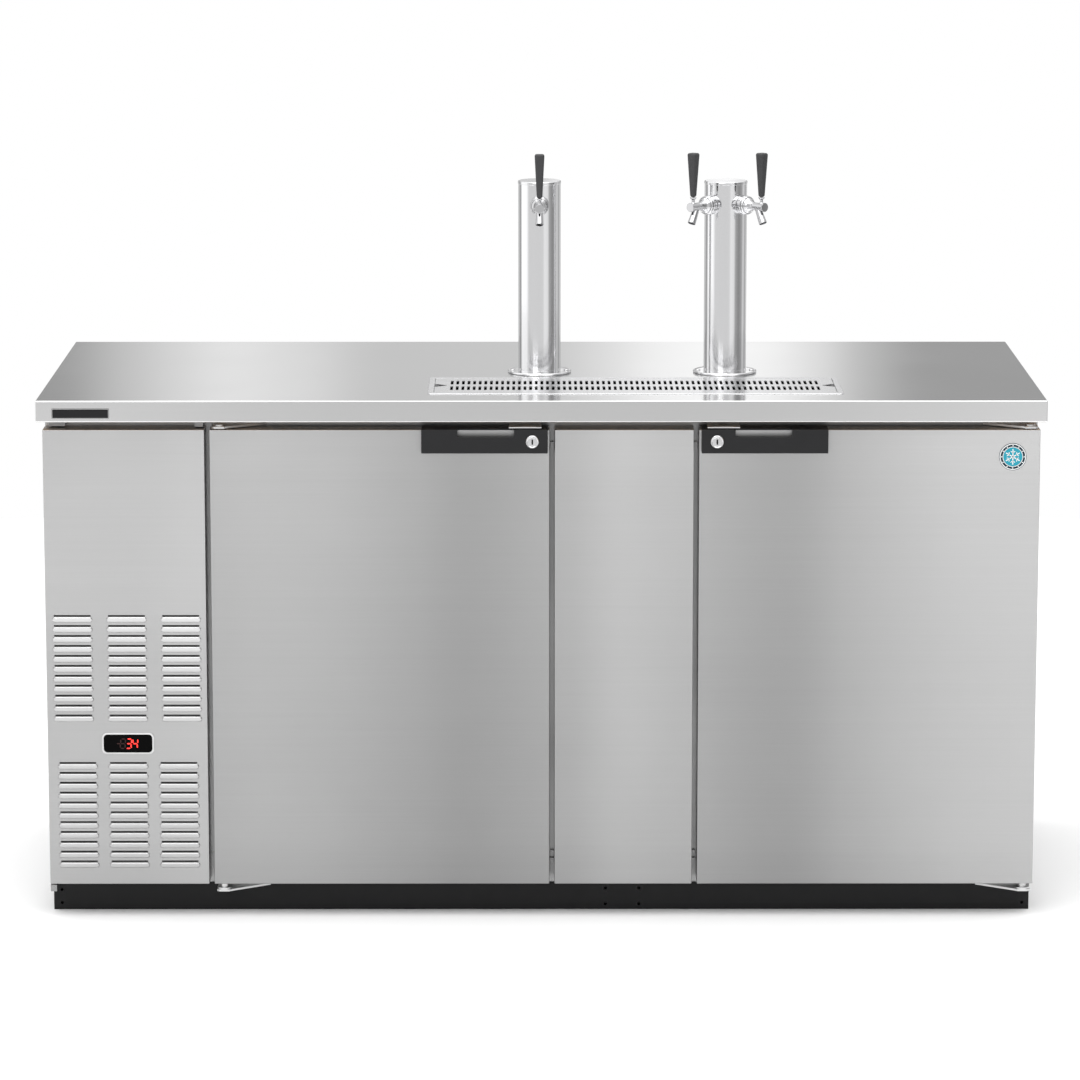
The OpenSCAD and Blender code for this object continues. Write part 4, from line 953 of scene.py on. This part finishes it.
def towers(size, finish):
    """The polished columns, their caps and their rolled flanges with screws."""
    radius, inner = TOWER_RADIUS, TOWER_RADIUS - WALL
    low, high = COLUMN_LO.z, COLUMN_HI.z + mm(5)
    tube = turned("tube", [(inner, low), (radius, low), (radius, high), (inner, high), (inner, low)], 96)
    crown = CAP_HI.z - high
    rim = (CAP_HI.x - CAP_LO.x) / 2 - (TOWER_X[1] - TOWER_X[0]) / 2
    plug, sunk = inner - mm(0.3), high - mm(10)
    cap = turned("cap", [
        (0, sunk), (plug, sunk), (plug, high), (radius + mm(0.3), high), (rim - mm(0.6), high + mm(0.4)),
        (rim - mm(0.5), high + crown * 0.5), (rim - mm(0.9), high + crown * 0.68),
        (rim - mm(2.2), high + crown * 0.82), (radius * 0.6, high + crown * 0.93), (0, high + crown)], 96)
    base, hole, roll = TOP_HI.z, mm(30), mm(2.2)
    edge, upper = mm(57.5), TOP_HI.z + mm(4)
    turns = [math.radians(angle) for angle in range(-90, 121, 30)]
    bead = [(edge - roll + roll * math.cos(turn), base + roll + roll * math.sin(turn)) for turn in turns]
    flange = turned("flange", [(hole, base), (edge - roll, base)] + bead + [
        (edge - mm(5), base + mm(3.4)), (radius + mm(2), base + mm(3.7)), (radius + mm(0.1), upper),
        (hole, upper), (hole, base)], 96)
    head = pan_head("flange_screw", mm(4.4), mm(2.2))
    feet = [((x, TOWER_Y, 0), (0, 0, 0)) for x in TOWER_X]
    columns, caps, flanges = [copies(piece, feet) for piece in (tube, cap, flange)]
    screws = copies(head, [
        ((x + across, TOWER_Y + deep, base + mm(3.5)), (0, 0, 0.4 + quarter))
        for x in TOWER_X for quarter, (across, deep) in enumerate(round_spots(SCREW_CIRCLE, 4))])
    pair = joined("column_tubes", columns)
    for x, angle in TAPS:
        ahead = Vector((math.sin(angle), -math.cos(angle), 0))
        foot = Vector((x, TOWER_Y, TAP_Z))
        cut(pair, rod("hole", foot + ahead * mm(28), foot + ahead * mm(44), mm(8.3)))
    fitted(pair, "cabinet", "polished_steel", finish["polished"], "tower_columns")
    fitted(joined("column_caps", caps), "cabinet", "polished_steel", finish["caps"], "tower_caps")
    fitted(joined("column_flanges", flanges), "cabinet", "polished_steel", finish["polished"], "tower_flanges")
    fitted(joined("flange_screws", screws), "cabinet", "zinc", finish["zinc"], "tower_screws")
    dress(finish["pale_plastic"], "beer_tubes")


def along_tap(name, profile, steps=48):
    """A profile of (distance, radius) points turned about a tap's axis, which runs to -Y."""
    return placed(turned(name, in_mm((radius, distance) for distance, radius in profile), steps), rotation=UPRIGHT)


def at_taps(name, parts):
    """Parts made in a tap's own frame, joined and copied to each tap."""
    return copies(joined(name, parts), [((x, TOWER_Y, TAP_Z), (0, 0, angle)) for x, angle in TAPS])


def shank_parts():
    """The shank, its saddle against the column and the ringed coupling nut."""
    shank = along_tap("shank", [(26, 3.6), (26, 7.4), (26.8, 8), (54, 8), (54, 3.6), (26, 3.6)])
    saddle = along_tap("saddle", [
        (34, 8.05), (34, 17.0), (35, 17.3), (43.6, 17.3), (44.5, 16.8), (45.2, 15.4), (45.5, 8.05), (34, 8.05)], 64)
    cut(saddle, rod("column", (0, 0, -mm(30)), (0, 0, mm(30)), TOWER_RADIUS + mm(0.2), 96))
    nut = along_tap("nut", [
        (46, 8.3), (46, 15.8), (46.4, 16.6), (47, 17.2), (53.8, 17.2), (54.6, 16.8), (55.2, 15.9), (55.6, 15.5),
        (56.3, 15.5), (56.9, 16.4), (58, 16.7), (59.6, 16.2), (60.7, 15.3), (61, 14.7), (61, 14.6), (55, 14.6),
        (55, 8.3), (46, 8.3)], 64)
    return [shank, saddle, nut]


def washer_parts():
    """The dark washers on both sides of the coupling nut."""
    return [along_tap("seal", [(start, 8.4), (start, reach), (end, reach), (end, 8.4), (start, 8.4)])
            for start, end, reach in ((45.3, 46.3, 16.2), (55.1, 56.0, 15.9))]


def at_spout(piece):
    """Hangs a piece, made upright at the origin, on the leaning line of the spout."""
    return placed(piece, (0, -SPOUT_OUT, 0), (-SPOUT_LEAN, 0, 0))


def faucet_parts():
    """The cone, the slim barrel with its end cap, the collar and the leaning spout."""
    barrel = along_tap("barrel", [
        (55.5, 0), (55.5, 14.2), (61.8, 14.2), (62.6, 13.9), (63.4, 13.2), (64.6, 11.8), (67, 10.2), (70, 9.1),
        (73, 8.1), (76, 7.3), (78, 7.2), (101.5, 7.2), (101.7, 7.9), (102, 8.2), (103.4, 8.2), (103.8, 8.0),
        (104, 7.5), (104, 0)], 56)
    bore = along_tap("bore", [(50, 0), (50, 7.2), (64, 7.2), (66, 4.2), (101, 4.2), (101, 0)])
    collar = turned("collar", in_mm([(0, 0), (7, 0), (7, 6.8), (6.8, 7.3), (6.4, 7.5), (0, 7.5)]), 40)
    placed(collar, (0, -LEVER_OUT, 0))
    socket = turned("socket", in_mm([(0, -2), (4.5, -2), (4.5, 2), (6.2, 4.6), (6.2, 9), (0, 9)]), 32)
    placed(socket, (0, -LEVER_OUT, mm(3)))
    spout = at_spout(turned("spout", in_mm([
        (3.6, 0), (5.6, 0), (6.4, -18), (7.0, -29), (7.2, -32), (7.0, -33), (6.2, -33), (3.6, 0)]), 40))
    vent = at_spout(block("vent", mm(-1.3, -8, -19), mm(1.3, -3, -9)))
    body = joined("faucet", [barrel, collar])
    cut(body, bore, socket)
    cut(spout, vent)
    return [body, spout]


def spout_throat_shade():
    """A near-black cone inside the spout: painted shade for the throat seen up the spout and through its vent."""
    return at_spout(turned("throat", in_mm([(0, -1), (3.5, -1), (5.6, -30), (0, -30)]), 28))


def lever_parts():
    """The ball, its tip below and the flared ferrule under the handle."""
    rise = [(0, -6.2), (1.4, -6.2), (1.7, -5.8), (1.7, -4.1)]
    turns = [math.radians(angle) for angle in range(-65, 51, 12)]
    ball = [(4.4 * math.cos(turn), 4.4 * math.sin(turn)) for turn in turns]
    stem = [(2.7, 3.6), (2.7, 7.6), (3.2, 8.4), (4.6, 10.0), (5.6, 11.2), (5.7, 11.8), (5.7, 12.6), (5.4, 12.8),
            (0, 12.8)]
    return [placed(turned("lever", in_mm(rise + ball + stem), 36), (0, -LEVER_OUT, mm(5)))]


def tap_handle_parts(size):
    """The tapered square handle, drawn up from its foot and rounded along its edges."""
    foot, head = mm(5.2), mm(9.3)
    low, high, here = mm(18), mm(97), mm(22)

    def half(height):
        return foot + (head - foot) * (height - low) / (high - low)

    handle = block("handle", (-foot, -LEVER_OUT - foot, low), (foot, -LEVER_OUT + foot, here))
    for share in (0.3, 0.65, 0.9, 1.0):
        there = low + share * (high - low)
        wider = half(there) / half(here)
        pick_faces(handle, lambda centre, normal: normal.z > 0.9)
        bpy.ops.mesh.extrude_region_move(TRANSFORM_OT_translate={"value": (0, 0, there - here)})
        bpy.ops.transform.resize(value=(wider, wider, 1), center_override=(0, -LEVER_OUT, there))
        bpy.ops.object.mode_set(mode="OBJECT")
        here = there
    soften(handle, size.handle_round, 5, 50)
    return [handle]


def valve_shaft_parts():
    """The sliding shaft with its seat and the flat under the lever's ball."""
    shaft = along_tap("shaft", [
        (60.5, 0), (60.5, 5.6), (61, 6), (62.6, 6), (63, 5.6), (63.5, 3.4), (99, 3.4), (99.5, 3.0), (99.5, 0)], 32)
    notch = block("notch", (-mm(5), -LEVER_OUT - mm(2.6), -mm(1.9)), (mm(5), -LEVER_OUT + mm(2.6), mm(8)))
    flat = block("flat", (-mm(5), -LEVER_OUT - mm(9), mm(0.3)), (mm(5), -LEVER_OUT + mm(4.9), mm(8)))
    return [cut(shaft, notch, flat)]


def taps(size, finish):
    """The three taps: fixed shanks and faucets, and levers, handles and shafts that move."""
    chrome = finish["chrome"]
    fitted(joined("shank_set", at_taps("shank_one", shank_parts())), "cabinet", "chrome", chrome, "tap_shanks")
    fitted(joined("faucet_set", at_taps("faucet_one", faucet_parts())), "cabinet", "chrome", chrome, "faucet_bodies")
    fitted(joined("spout_throat_shades", at_taps("throat_one", [spout_throat_shade()])), "cabinet", "chrome", finish["hollow"])
    fitted(joined("coupling_washers", at_taps("washer_one", washer_parts())), "cabinet", "rubber", finish["rubber"])
    moving = (("lever", lever_parts(), "chrome", chrome, "tap_lever_", "tap_"),
              ("handle", tap_handle_parts(size), "tap_handle_plastic", finish["tap_handle"], "tap_handle_", "tap_"),
              ("shaft", valve_shaft_parts(), "chrome", chrome, "valve_shaft_", "valve_"))
    for label, parts, slot, material, node, body in moving:
        for number, piece in enumerate(at_taps(label + "_one", parts), 1):
            piece.name = f"{label}_{number}"
            fitted(piece, f"{body}{number}", slot, material, f"{node}{number}")


# ---------- pieces of the doors ----------


def door_pan(side, size, finish):
    """The folded pan of a door with its two hinge bushes."""
    lo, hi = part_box(side + "_door_skin")
    pan = folded_cover(side + "_door_pan", lo, hi, hi.y, size)
    x = lo.x + mm(17) if side == "left" else hi.x - mm(17)
    y = lo.y + mm(14)
    deep = mm(27)
    parts = [pan]
    bores = []
    for end, up in ((lo.z, 1), (hi.z, -1)):
        parts.append(rod("bush", (x, y, end + up * mm(0.2)), (x, y, end + up * deep), mm(7), 28))
        bores.append(rod("bore", (x, y, end - up * mm(2)), (x, y, end + up * (deep - mm(1))), mm(4.05), 28))
    cut(joined(pan.name, parts), *bores)
    fitted(pan, side + "_door", "brushed_steel", finish[side + "_door"], side + "_door_skin")
    dress(finish["foam"], side + "_door_core")


def door_back(side, size, finish):
    """The inner liner with its raised middle, and the ribbed magnetic gasket round it."""
    lo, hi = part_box(side + "_door_liner")
    seal_lo, seal_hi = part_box(side + "_door_gasket")
    front = seal_lo.y
    sheet = block(side + "_door_back", lo, (hi.x, front - mm(0.1), hi.z))
    soften(sheet, mm(0.4))
    band = mm(25)
    panel = block("raised", (seal_lo.x + band, front - mm(0.4), seal_lo.z + band),
                  (seal_hi.x - band, hi.y, seal_hi.z - band))
    soften(panel, mm(4), 4)
    back = joined(side + "_door_back", [sheet, panel])
    fitted(back, side + "_door", "liner", finish["liner"], side + "_door_liner")
    rings = [
        ring_frame(name, seal_lo + inset, seal_hi - inset, strip, front + near, far)
        for name, inset, strip, near, far in (
            (side + "_door_seal", mm(0, 0, 0), mm(22), 0, front + mm(5)),
            ("bellows", mm(4, 0, 4), mm(13), mm(4.5), front + mm(8.5)),
            ("magnet", mm(2, 0, 2), mm(15), mm(8), seal_hi.y))]
    fitted(joined(side + "_door_seal", rings), side + "_door", "gasket", finish["gasket"], side + "_door_gasket")


def ring_frame(name, lo, hi, strip, front, back):
    """A rectangular ring standing in X and Z, with rounded edges."""
    ring = block(name, (lo.x, front, lo.z), (hi.x, back, hi.z))
    soften(ring, mm(1), 3)
    past = mm(5)
    hollow = block("hollow", (lo.x + strip, front - past, lo.z + strip), (hi.x - strip, back + past, hi.z - strip))
    return cut(ring, hollow)


HANDLE_THICK = mm(2)
LOCK_IN = mm(27)        # from the opening edge of the handle
LOCK_DOWN = mm(19)      # from the top of the door
SLOT_NEAR = mm(32)      # the two ends of the finger slot, from the lock
SLOT_FAR = mm(131)


def lock_place(side):
    """The lock's centre in X and Z, and the way inwards from the door's opening edge."""
    lo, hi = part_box(side + "_door_handle")
    edge, inward = (hi.x, -1) if side == "left" else (lo.x, 1)
    return edge + inward * LOCK_IN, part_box(side + "_door_skin")[1].z - LOCK_DOWN, inward


def door_handle(side, size, finish):
    """The black plate that stands off the door and folds over its top, with a finger
    slot over a rolled lip, and the lock's own hole."""
    lo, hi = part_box(side + "_door_handle")
    door_lo, door_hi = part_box(side + "_door_skin")
    lock_x, lock_z, inward = lock_place(side)
    wall, past = HANDLE_THICK, mm(1)
    over = door_hi.z + mm(0.4)
    shell = block(side + "_handle_plate", lo, (hi.x, door_lo.y, hi.z))
    soften(shell, mm(1.1), 4)
    hollow = block("hollow", (lo.x + wall, lo.y + wall, lo.z + wall), (hi.x - wall, door_lo.y + mm(4), over))
    cut(shell, hollow)
    fold = block("fold", (lo.x, door_lo.y - mm(1.5), over), hi)
    soften(fold, mm(0.6), 3)
    near, far = sorted((lock_x + inward * SLOT_NEAR, lock_x + inward * SLOT_FAR))
    centre = Vector(((near + far) / 2, 0, lock_z + mm(28)))
    slot = upright_plate("slot", centre, (far - near, mm(40)), mm(4), lo.y + mm(8), lo.y - mm(8))
    gap = block("gap", (near, lo.y - past, over - past), (far, door_lo.y, hi.z + past))
    hole = rod("hole", (lock_x, lo.y - past, lock_z), (lock_x, lo.y + wall + past, lock_z), mm(10.4), 48)
    cam_near, cam_far = sorted((lock_x - inward * mm(7), lock_x + inward * mm(27)))
    cam_gap = block("gap", (cam_near, door_lo.y - mm(10.5), over - past), (cam_far, door_lo.y - mm(6.5), hi.z + past))
    cut(shell, slot, gap, hole, cam_gap)
    roll, end = mm(4), mm(0.5)
    y, z = lo.y + roll, lock_z + roll
    lip = rod("lip", (near - end, y, z), (far + end, y, z), roll, 28)
    whole = joined(shell.name, [shell, fold, lip])
    fitted(whole, side + "_door", "handle_plastic", finish["handle"], side + "_door_handle")


def lock_cylinder(side, size, finish):
    """The keyed disc with its dished face, the barrel and the cam behind it."""
    lo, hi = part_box(side + "_lock_cylinder")
    x, z, inward = lock_place(side)
    front = lo.y
    face = turned("face", in_mm([
        (10.3, 0), (11.3, 0.15), (11.3, 1.3), (10.7, 1.95), (9.6, 1.95), (8.9, 1.5), (8.3, 1.5), (7.9, 1.9),
        (0, 2.0), (0, -4.6), (10.3, -4.6), (10.3, 0)]), 56)
    placed(face, (x, front + mm(2.0), z), UPRIGHT)
    key = block("key", (x - mm(1.4), front - mm(2), z - mm(4.6)), (x + mm(1.4), front + mm(4.2), z + mm(4.6)))
    cut(face, key, rod("round_key", (x, front - mm(2), z), (x, front + mm(4.2), z), mm(2.0), 24))
    # A near-black block in the key slot: painted shade deep in the keyway.
    keyway_shade = block(side + "_keyway", (x - mm(1.3), front + mm(0.9), z - mm(4.5)),
                   (x + mm(1.3), front + mm(4.1), z + mm(4.5)))
    fitted(keyway_shade, side + "_lock", "chrome", finish["hollow"])
    barrel = rod("barrel", (x, front + mm(6.4), z), (x, hi.y, z), mm(6), 32)
    soften(barrel, mm(0.4))
    near, far = sorted((x - inward * mm(4), x + inward * mm(29)))
    cam = upright_plate("cam", Vector(((near + far) / 2, 0, z)), (far - near, mm(8)), mm(3.9), hi.y, hi.y - mm(2))
    lock = joined(side + "_lock", [face, barrel, cam])
    fitted(lock, side + "_lock", "chrome", finish["polished"], side + "_lock_cylinder")
    ring = turned(side + "_lock_ring", in_mm([
        (10.42, 0), (12.4, 0), (12.4, 0.5), (12.0, 0.8), (11.5, 0.8), (10.42, 0.15), (10.42, 0)]), 48)
    placed(ring, (x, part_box(side + "_door_handle")[0].y + mm(0.05), z), UPRIGHT)
    fitted(ring, side + "_door", "handle_plastic", finish["rubber"])


def name_plate(size, finish):
    """A blank black plate with a fine bright border."""
    lo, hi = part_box("nameplate")
    centre = (lo + hi) / 2
    wide, tall = hi.x - lo.x, hi.z - lo.z
    base = upright_plate("blank_plate", centre, (wide, tall), mm(1.5), hi.y, lo.y + mm(0.25))
    soften(base, mm(0.25))
    fitted(base, "cabinet", "nameplate", finish["plate"], "nameplate")
    wide, tall = wide - mm(1.2), tall - mm(1.2)
    border = upright_plate("plate_border", centre, (wide, tall), mm(1.2), lo.y + mm(0.3), lo.y + mm(0.05))
    both_lines = mm(1.4)
    cut(border, upright_plate("inside", centre, (wide - both_lines, tall - both_lines), mm(0.8),
                              lo.y + mm(2), lo.y - mm(2)))
    fitted(border, "cabinet", "nameplate", finish["zinc"])


def bearing(angle):
    """A direction in X and Z, at an angle from straight up."""
    return Vector((math.sin(angle), 0, math.cos(angle)))


def door_badge(size, finish):
    """A round badge with a plain snow star, in rings of enamel."""
    lo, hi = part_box("door_badge")
    middle = Vector(((lo.x + hi.x) / 2, hi.y, (lo.z + hi.z) / 2))
    radius, deep = (hi.x - lo.x) / 2, hi.y - lo.y
    white = finish["badge_white"]
    for name, inside_share, outside_share, proud_share, material, *node in (
            ("badge_rim", 0, 1, 0.7, finish["badge_dark"], "door_badge"), ("badge_band", 0.9, 0.97, 0.85, white),
            ("badge_field", 0, 0.7, 0.82, finish["enamel"]), ("badge_line", 0.7, 0.75, 0.85, white)):
        inner, outer, proud = radius * inside_share, radius * outside_share, deep * proud_share
        disc = turned(name, [(inner, 0), (outer, 0), (outer, proud * 0.8), (outer - mm(0.4), proud), (inner, proud),
                             (inner, 0)], 64)
        fitted(placed(disc, middle, UPRIGHT), "right_door", "badge", material, *node)
    reach, bar = radius * 0.58, mm(0.9)
    front, back = -deep * 0.98, -deep * 0.7
    arm = block("arm", (-bar, front, -reach), (bar, back, reach))
    branch = block("branch", (-bar * 0.7, front, 0), (bar * 0.7, back, reach * 0.36))
    turns = [turn * math.pi / 3 for turn in range(6)]
    star = copies(arm, [(middle, (0, turn, 0)) for turn in turns[:3]])
    star += copies(branch, [(middle + bearing(turn) * reach * 0.5, (0, turn + lean, 0))
                            for turn in turns for lean in (-0.9, 0.9)])
    fitted(joined("badge_star", star), "right_door", "badge", white)
    bead = turned("bead", [(0, 0), (mm(1.1), 0), (mm(1.1), deep * 0.8), (0, deep * 0.88)], 16)
    beads = copies(bead, [(middle + bearing(turn * math.pi / 6) * radius * 0.825, UPRIGHT) for turn in range(12)])
    fitted(joined("badge_beads", beads), "right_door", "badge", white)


# ---------- the machine and the inside ----------

def machine(size, finish):
    """Finishes for the cooling system, with the edges of its housings rounded."""
    for node, width, body, slot, look in (
            ("compressor", 0.8, "cabinet", "dark_plastic", "plinth"),
            ("fan_shroud", 0.3, "cabinet", "dark_plastic", "dark_plastic"),
            ("fan_motors", 0.6, "cabinet", "dark_plastic", "dark_plastic"),
            ("condenser_fan_blade", 0.4, "condenser_fan", "dark_plastic", "dark_plastic"),
            ("evaporator_fan_blade", 0.4, "evaporator_fan", "dark_plastic", "dark_plastic"),
            ("evaporator_housing", 0.3, "cabinet", "pale_plastic", "pale_plastic"),
            ("rear_grommets", 0.6, "cabinet", "rubber", "rubber")):
        softened_node(node, mm(width), body, slot, finish[look])
    dress(finish["fins"], "evaporator_coil")
    dress(finish["dark_plastic"], "condenser_coil")
    dress(finish["copper"], "refrigerant_lines")


def inside(size, finish):
    """Finishes for the foam, the liner and the base pan."""
    dress(finish["foam"], "insulation_foam")
    dress(finish["liner"], "interior_liner")
    dress(finish["galvanised"], "base_pan")


# ---------- the stage ----------

def studio_world():
    """Near-white behind the camera's rays; for light and reflections, soft upright
    panels and darker gaps round the object, and a bright ceiling."""
    world = bpy.data.worlds.new("studio")
    bpy.context.scene.world = world
    world.use_nodes = True
    tree = world.node_tree
    tree.nodes.clear()
    place = add_node(tree, "SeparateXYZ", {"Vector": add_node(tree, "TexCoord").outputs["Generated"]}).outputs
    azimuth = math_node(tree, "ARCTAN2", place["X"], place["Y"])
    wide = ring_of_levels(tree, azimuth, 180, STUDIO_PANELS)
    narrow = ring_of_levels(tree, azimuth, 8, STUDIO_STREAKS)
    panels = math_node(tree, "ADD", wide, narrow)
    rise = map_range(tree, place["Z"], 0.35, 0.85, interpolation_type="SMOOTHSTEP")
    ceiling = mixed(tree, rise, panels, (1.25, 1.25, 1.25, 1))
    lit = add_node(tree, "Background", {"Color": ceiling}).outputs["Background"]
    seen = add_node(tree, "Background", {"Color": (1.0, 1.0, 1.0, 1)}).outputs["Background"]
    camera_ray = add_node(tree, "LightPath").outputs["Is Camera Ray"]
    mix = add_node(tree, "MixShader", {"Fac": camera_ray, 1: lit, 2: seen}).outputs["Shader"]
    add_node(tree, "OutputWorld", {"Surface": mix})


def ring_of_levels(tree, azimuth, reach, levels):
    """A brightness that changes with the azimuth, over so many degrees each side of +Y."""
    share = map_range(tree, azimuth, math.radians(-reach), math.radians(reach))
    return ramp_node(tree, share, [((degrees / reach + 1) / 2, level) for degrees, level in levels], "EASE")


# Degrees round the object, from straight behind it (0) towards +X (90), in front
# (-180 and 180) and -X (-90), with the brightness of the studio there.
STUDIO_PANELS = (
    (-180, 0.75), (-122, 0.76), (-104, 1.25), (-70, 1.3), (-58, 0.45), (-45, 0.4), (-28, 0.8), (-12, 0.33),
    (12, 0.35), (30, 0.8), (48, 0.4), (58, 0.6), (70, 0.75), (84, 0.4), (104, 0.3), (122, 0.4), (136, 0.9),
    (150, 0.95), (164, 0.76), (180, 0.75))

# What narrow windows behind it add, which the worktop draws out into streaks.
STUDIO_STREAKS = (
    (-8, 0.0), (-5.7, 0.01), (-4.8, 0.29), (-4.3, 0.43), (-3.7, 0.58), (-2.8, 0.49), (-1.9, 0.31), (-0.4, 0.34),
    (0.2, 0.34), (0.9, 0.53), (1.5, 0.75), (2.1, 0.81), (2.8, 0.76), (3.4, 0.53), (4.0, 0.2), (4.6, 0.02), (8, 0.0))


def studio_floor():
    """A wide pale floor, and the near-white paper that it is."""
    only()
    bpy.ops.mesh.primitive_circle_add(vertices=96, radius=4, fill_type="NGON", location=(0, 0, -mm(0.2)))
    floor = settled("studio_floor")
    paper = Finish("studio_paper", roughness=0.9)
    floor.data.materials.append(paper.send(Base_Color=(0.93, 0.93, 0.93, 1)).material)


def studio_lights():
    """A broad soft light overhead and a weaker one in front."""
    for name, place, size, power in (("overhead", (0, -1.2, 4.6), 5.0, 130), ("front", (-2.2, -5.5, 3.4), 3.0, 45)):
        only()
        bpy.ops.object.light_add(type="AREA", location=place)
        light = bpy.context.object
        light.name = name
        light.data.size = size
        light.data.energy = power
        light.visible_camera = False
        aim_at(light, (0, 0, 0.6))


def aim_at(thing, target):
    """Turns a light or camera to look at a point."""
    thing.rotation_euler = (Vector(target) - thing.location).to_track_quat("-Z", "Y").to_euler()


def studio_camera():
    """The camera stands in front, a little above the worktop, with a long lens."""
    only()
    bpy.ops.object.camera_add(location=(-0.015, -8.666, 2.166))
    camera = bpy.context.object
    camera.name = "studio_camera"
    camera.data.lens = 160.2
    camera.data.clip_end = 100
    aim_at(camera, (-0.002, 0, 0.6155))
    bpy.context.scene.camera = camera
    bpy.context.scene.view_settings.view_transform = "Standard"


# ---------- operators, the panel and the run ----------

FINISHES = {}


class KegeratorOperator(bpy.types.Operator):
    """Shared by the kegerator's operators: its sizes, and its finishes built once."""
    bl_options = {"REGISTER", "UNDO"}
    makers = ()

    def execute(self, context):
        if not FINISHES:
            FINISHES.update(build_finishes(context.scene.kegerator_colours))
        for maker in self.makers:
            maker(context.scene.kegerator_sizes, FINISHES)
        return {"FINISHED"}


def both_doors(maker):
    """A maker that works on the left door and then on the right one."""
    def run(size, finish):
        for side in ("left", "right"):
            maker(side, size, finish)
    return run


class KEGERATOR_OT_stage(bpy.types.Operator):
    """Sets up the pale floor, the soft studio light and the camera"""
    bl_idname = "kegerator.stage"
    bl_label = "Stage"

    def execute(self, context):
        studio_world()
        studio_floor()
        studio_lights()
        studio_camera()
        return {"FINISHED"}


class KEGERATOR_OT_cabinet(KegeratorOperator):
    """Models the plinth, the side and back covers, the strips and the hinges"""
    bl_idname = "kegerator.cabinet"
    bl_label = "Cabinet"
    makers = (cabinet_plinth, side_covers, back_cover, centre_cover, face_strips)


class KEGERATOR_OT_louvres(KegeratorOperator):
    """Models the louvred panel of the machine compartment"""
    bl_idname = "kegerator.louvres"
    bl_label = "Louvred panel"
    makers = (louvre_cover,)


class KEGERATOR_OT_display(KegeratorOperator):
    """Models the temperature display with its digits"""
    bl_idname = "kegerator.display"
    bl_label = "Display"
    makers = (display,)


class KEGERATOR_OT_worktop(KegeratorOperator):
    """Models the folded worktop and the blank plate on its front"""
    bl_idname = "kegerator.worktop"
    bl_label = "Worktop"
    makers = (worktop, name_plate)


class KEGERATOR_OT_tray(KegeratorOperator):
    """Models the drip tray and its slotted grate"""
    bl_idname = "kegerator.tray"
    bl_label = "Drip tray"
    makers = (drip_tray, drip_grate)


class KEGERATOR_OT_towers(KegeratorOperator):
    """Models the two tower columns with caps, flanges and screws"""
    bl_idname = "kegerator.towers"
    bl_label = "Towers"
    makers = (towers,)


class KEGERATOR_OT_taps(KegeratorOperator):
    """Models the three taps with their levers and handles"""
    bl_idname = "kegerator.taps"
    bl_label = "Taps"
    makers = (taps,)


class KEGERATOR_OT_doors(KegeratorOperator):
    """Models the two doors with their liners and gaskets, and the badge"""
    bl_idname = "kegerator.doors"
    bl_label = "Doors"
    makers = (both_doors(door_pan), both_doors(door_back), door_badge)


class KEGERATOR_OT_handles(KegeratorOperator):
    """Models the door handles and their locks"""
    bl_idname = "kegerator.handles"
    bl_label = "Handles and locks"
    makers = (both_doors(door_handle), both_doors(lock_cylinder))


class KEGERATOR_OT_machine(KegeratorOperator):
    """Finishes the cooling system and the inside of the cabinet"""
    bl_idname = "kegerator.machine"
    bl_label = "Machine and inside"
    makers = (machine, inside)


class KEGERATOR_PT_sidebar(bpy.types.Panel):
    """Lists the kegerator's settings and operators"""
    bl_idname = "KEGERATOR_PT_sidebar"
    bl_label = "Kegerator"
    bl_space_type = "VIEW_3D"
    bl_region_type = "UI"
    bl_category = "Kegerator"

    def draw(self, context):
        layout = self.layout
        for settings in (context.scene.kegerator_sizes, context.scene.kegerator_colours):
            box = layout.box()
            for name in settings.__annotations__:
                box.prop(settings, name)
        for operator in OPERATORS:
            layout.operator(operator.bl_idname)


OPERATORS = (
    KEGERATOR_OT_stage, KEGERATOR_OT_cabinet, KEGERATOR_OT_louvres, KEGERATOR_OT_display, KEGERATOR_OT_worktop,
    KEGERATOR_OT_tray, KEGERATOR_OT_towers, KEGERATOR_OT_taps, KEGERATOR_OT_doors, KEGERATOR_OT_handles,
    KEGERATOR_OT_machine)
CLASSES = (KegeratorSizes, KegeratorColours, *OPERATORS, KEGERATOR_PT_sidebar)


def register():
    """Registers the classes and hangs the settings on the scene."""
    for each in CLASSES:
        bpy.utils.register_class(each)
    bpy.types.Scene.kegerator_sizes = PointerProperty(type=KegeratorSizes)
    bpy.types.Scene.kegerator_colours = PointerProperty(type=KegeratorColours)


def unregister():
    """Takes the settings off the scene and unregisters the classes."""
    del bpy.types.Scene.kegerator_colours
    del bpy.types.Scene.kegerator_sizes
    for each in reversed(CLASSES):
        bpy.utils.unregister_class(each)


def main():
    """Registers the add-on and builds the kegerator."""
    register()
    for operator in OPERATORS:
        group, action = operator.bl_idname.split(".")
        result = getattr(getattr(bpy.ops, group), action)()
        if result != {"FINISHED"}:
            raise RuntimeError(operator.bl_label + " did not finish")
    only()


if __name__ == "__main__":
    main()
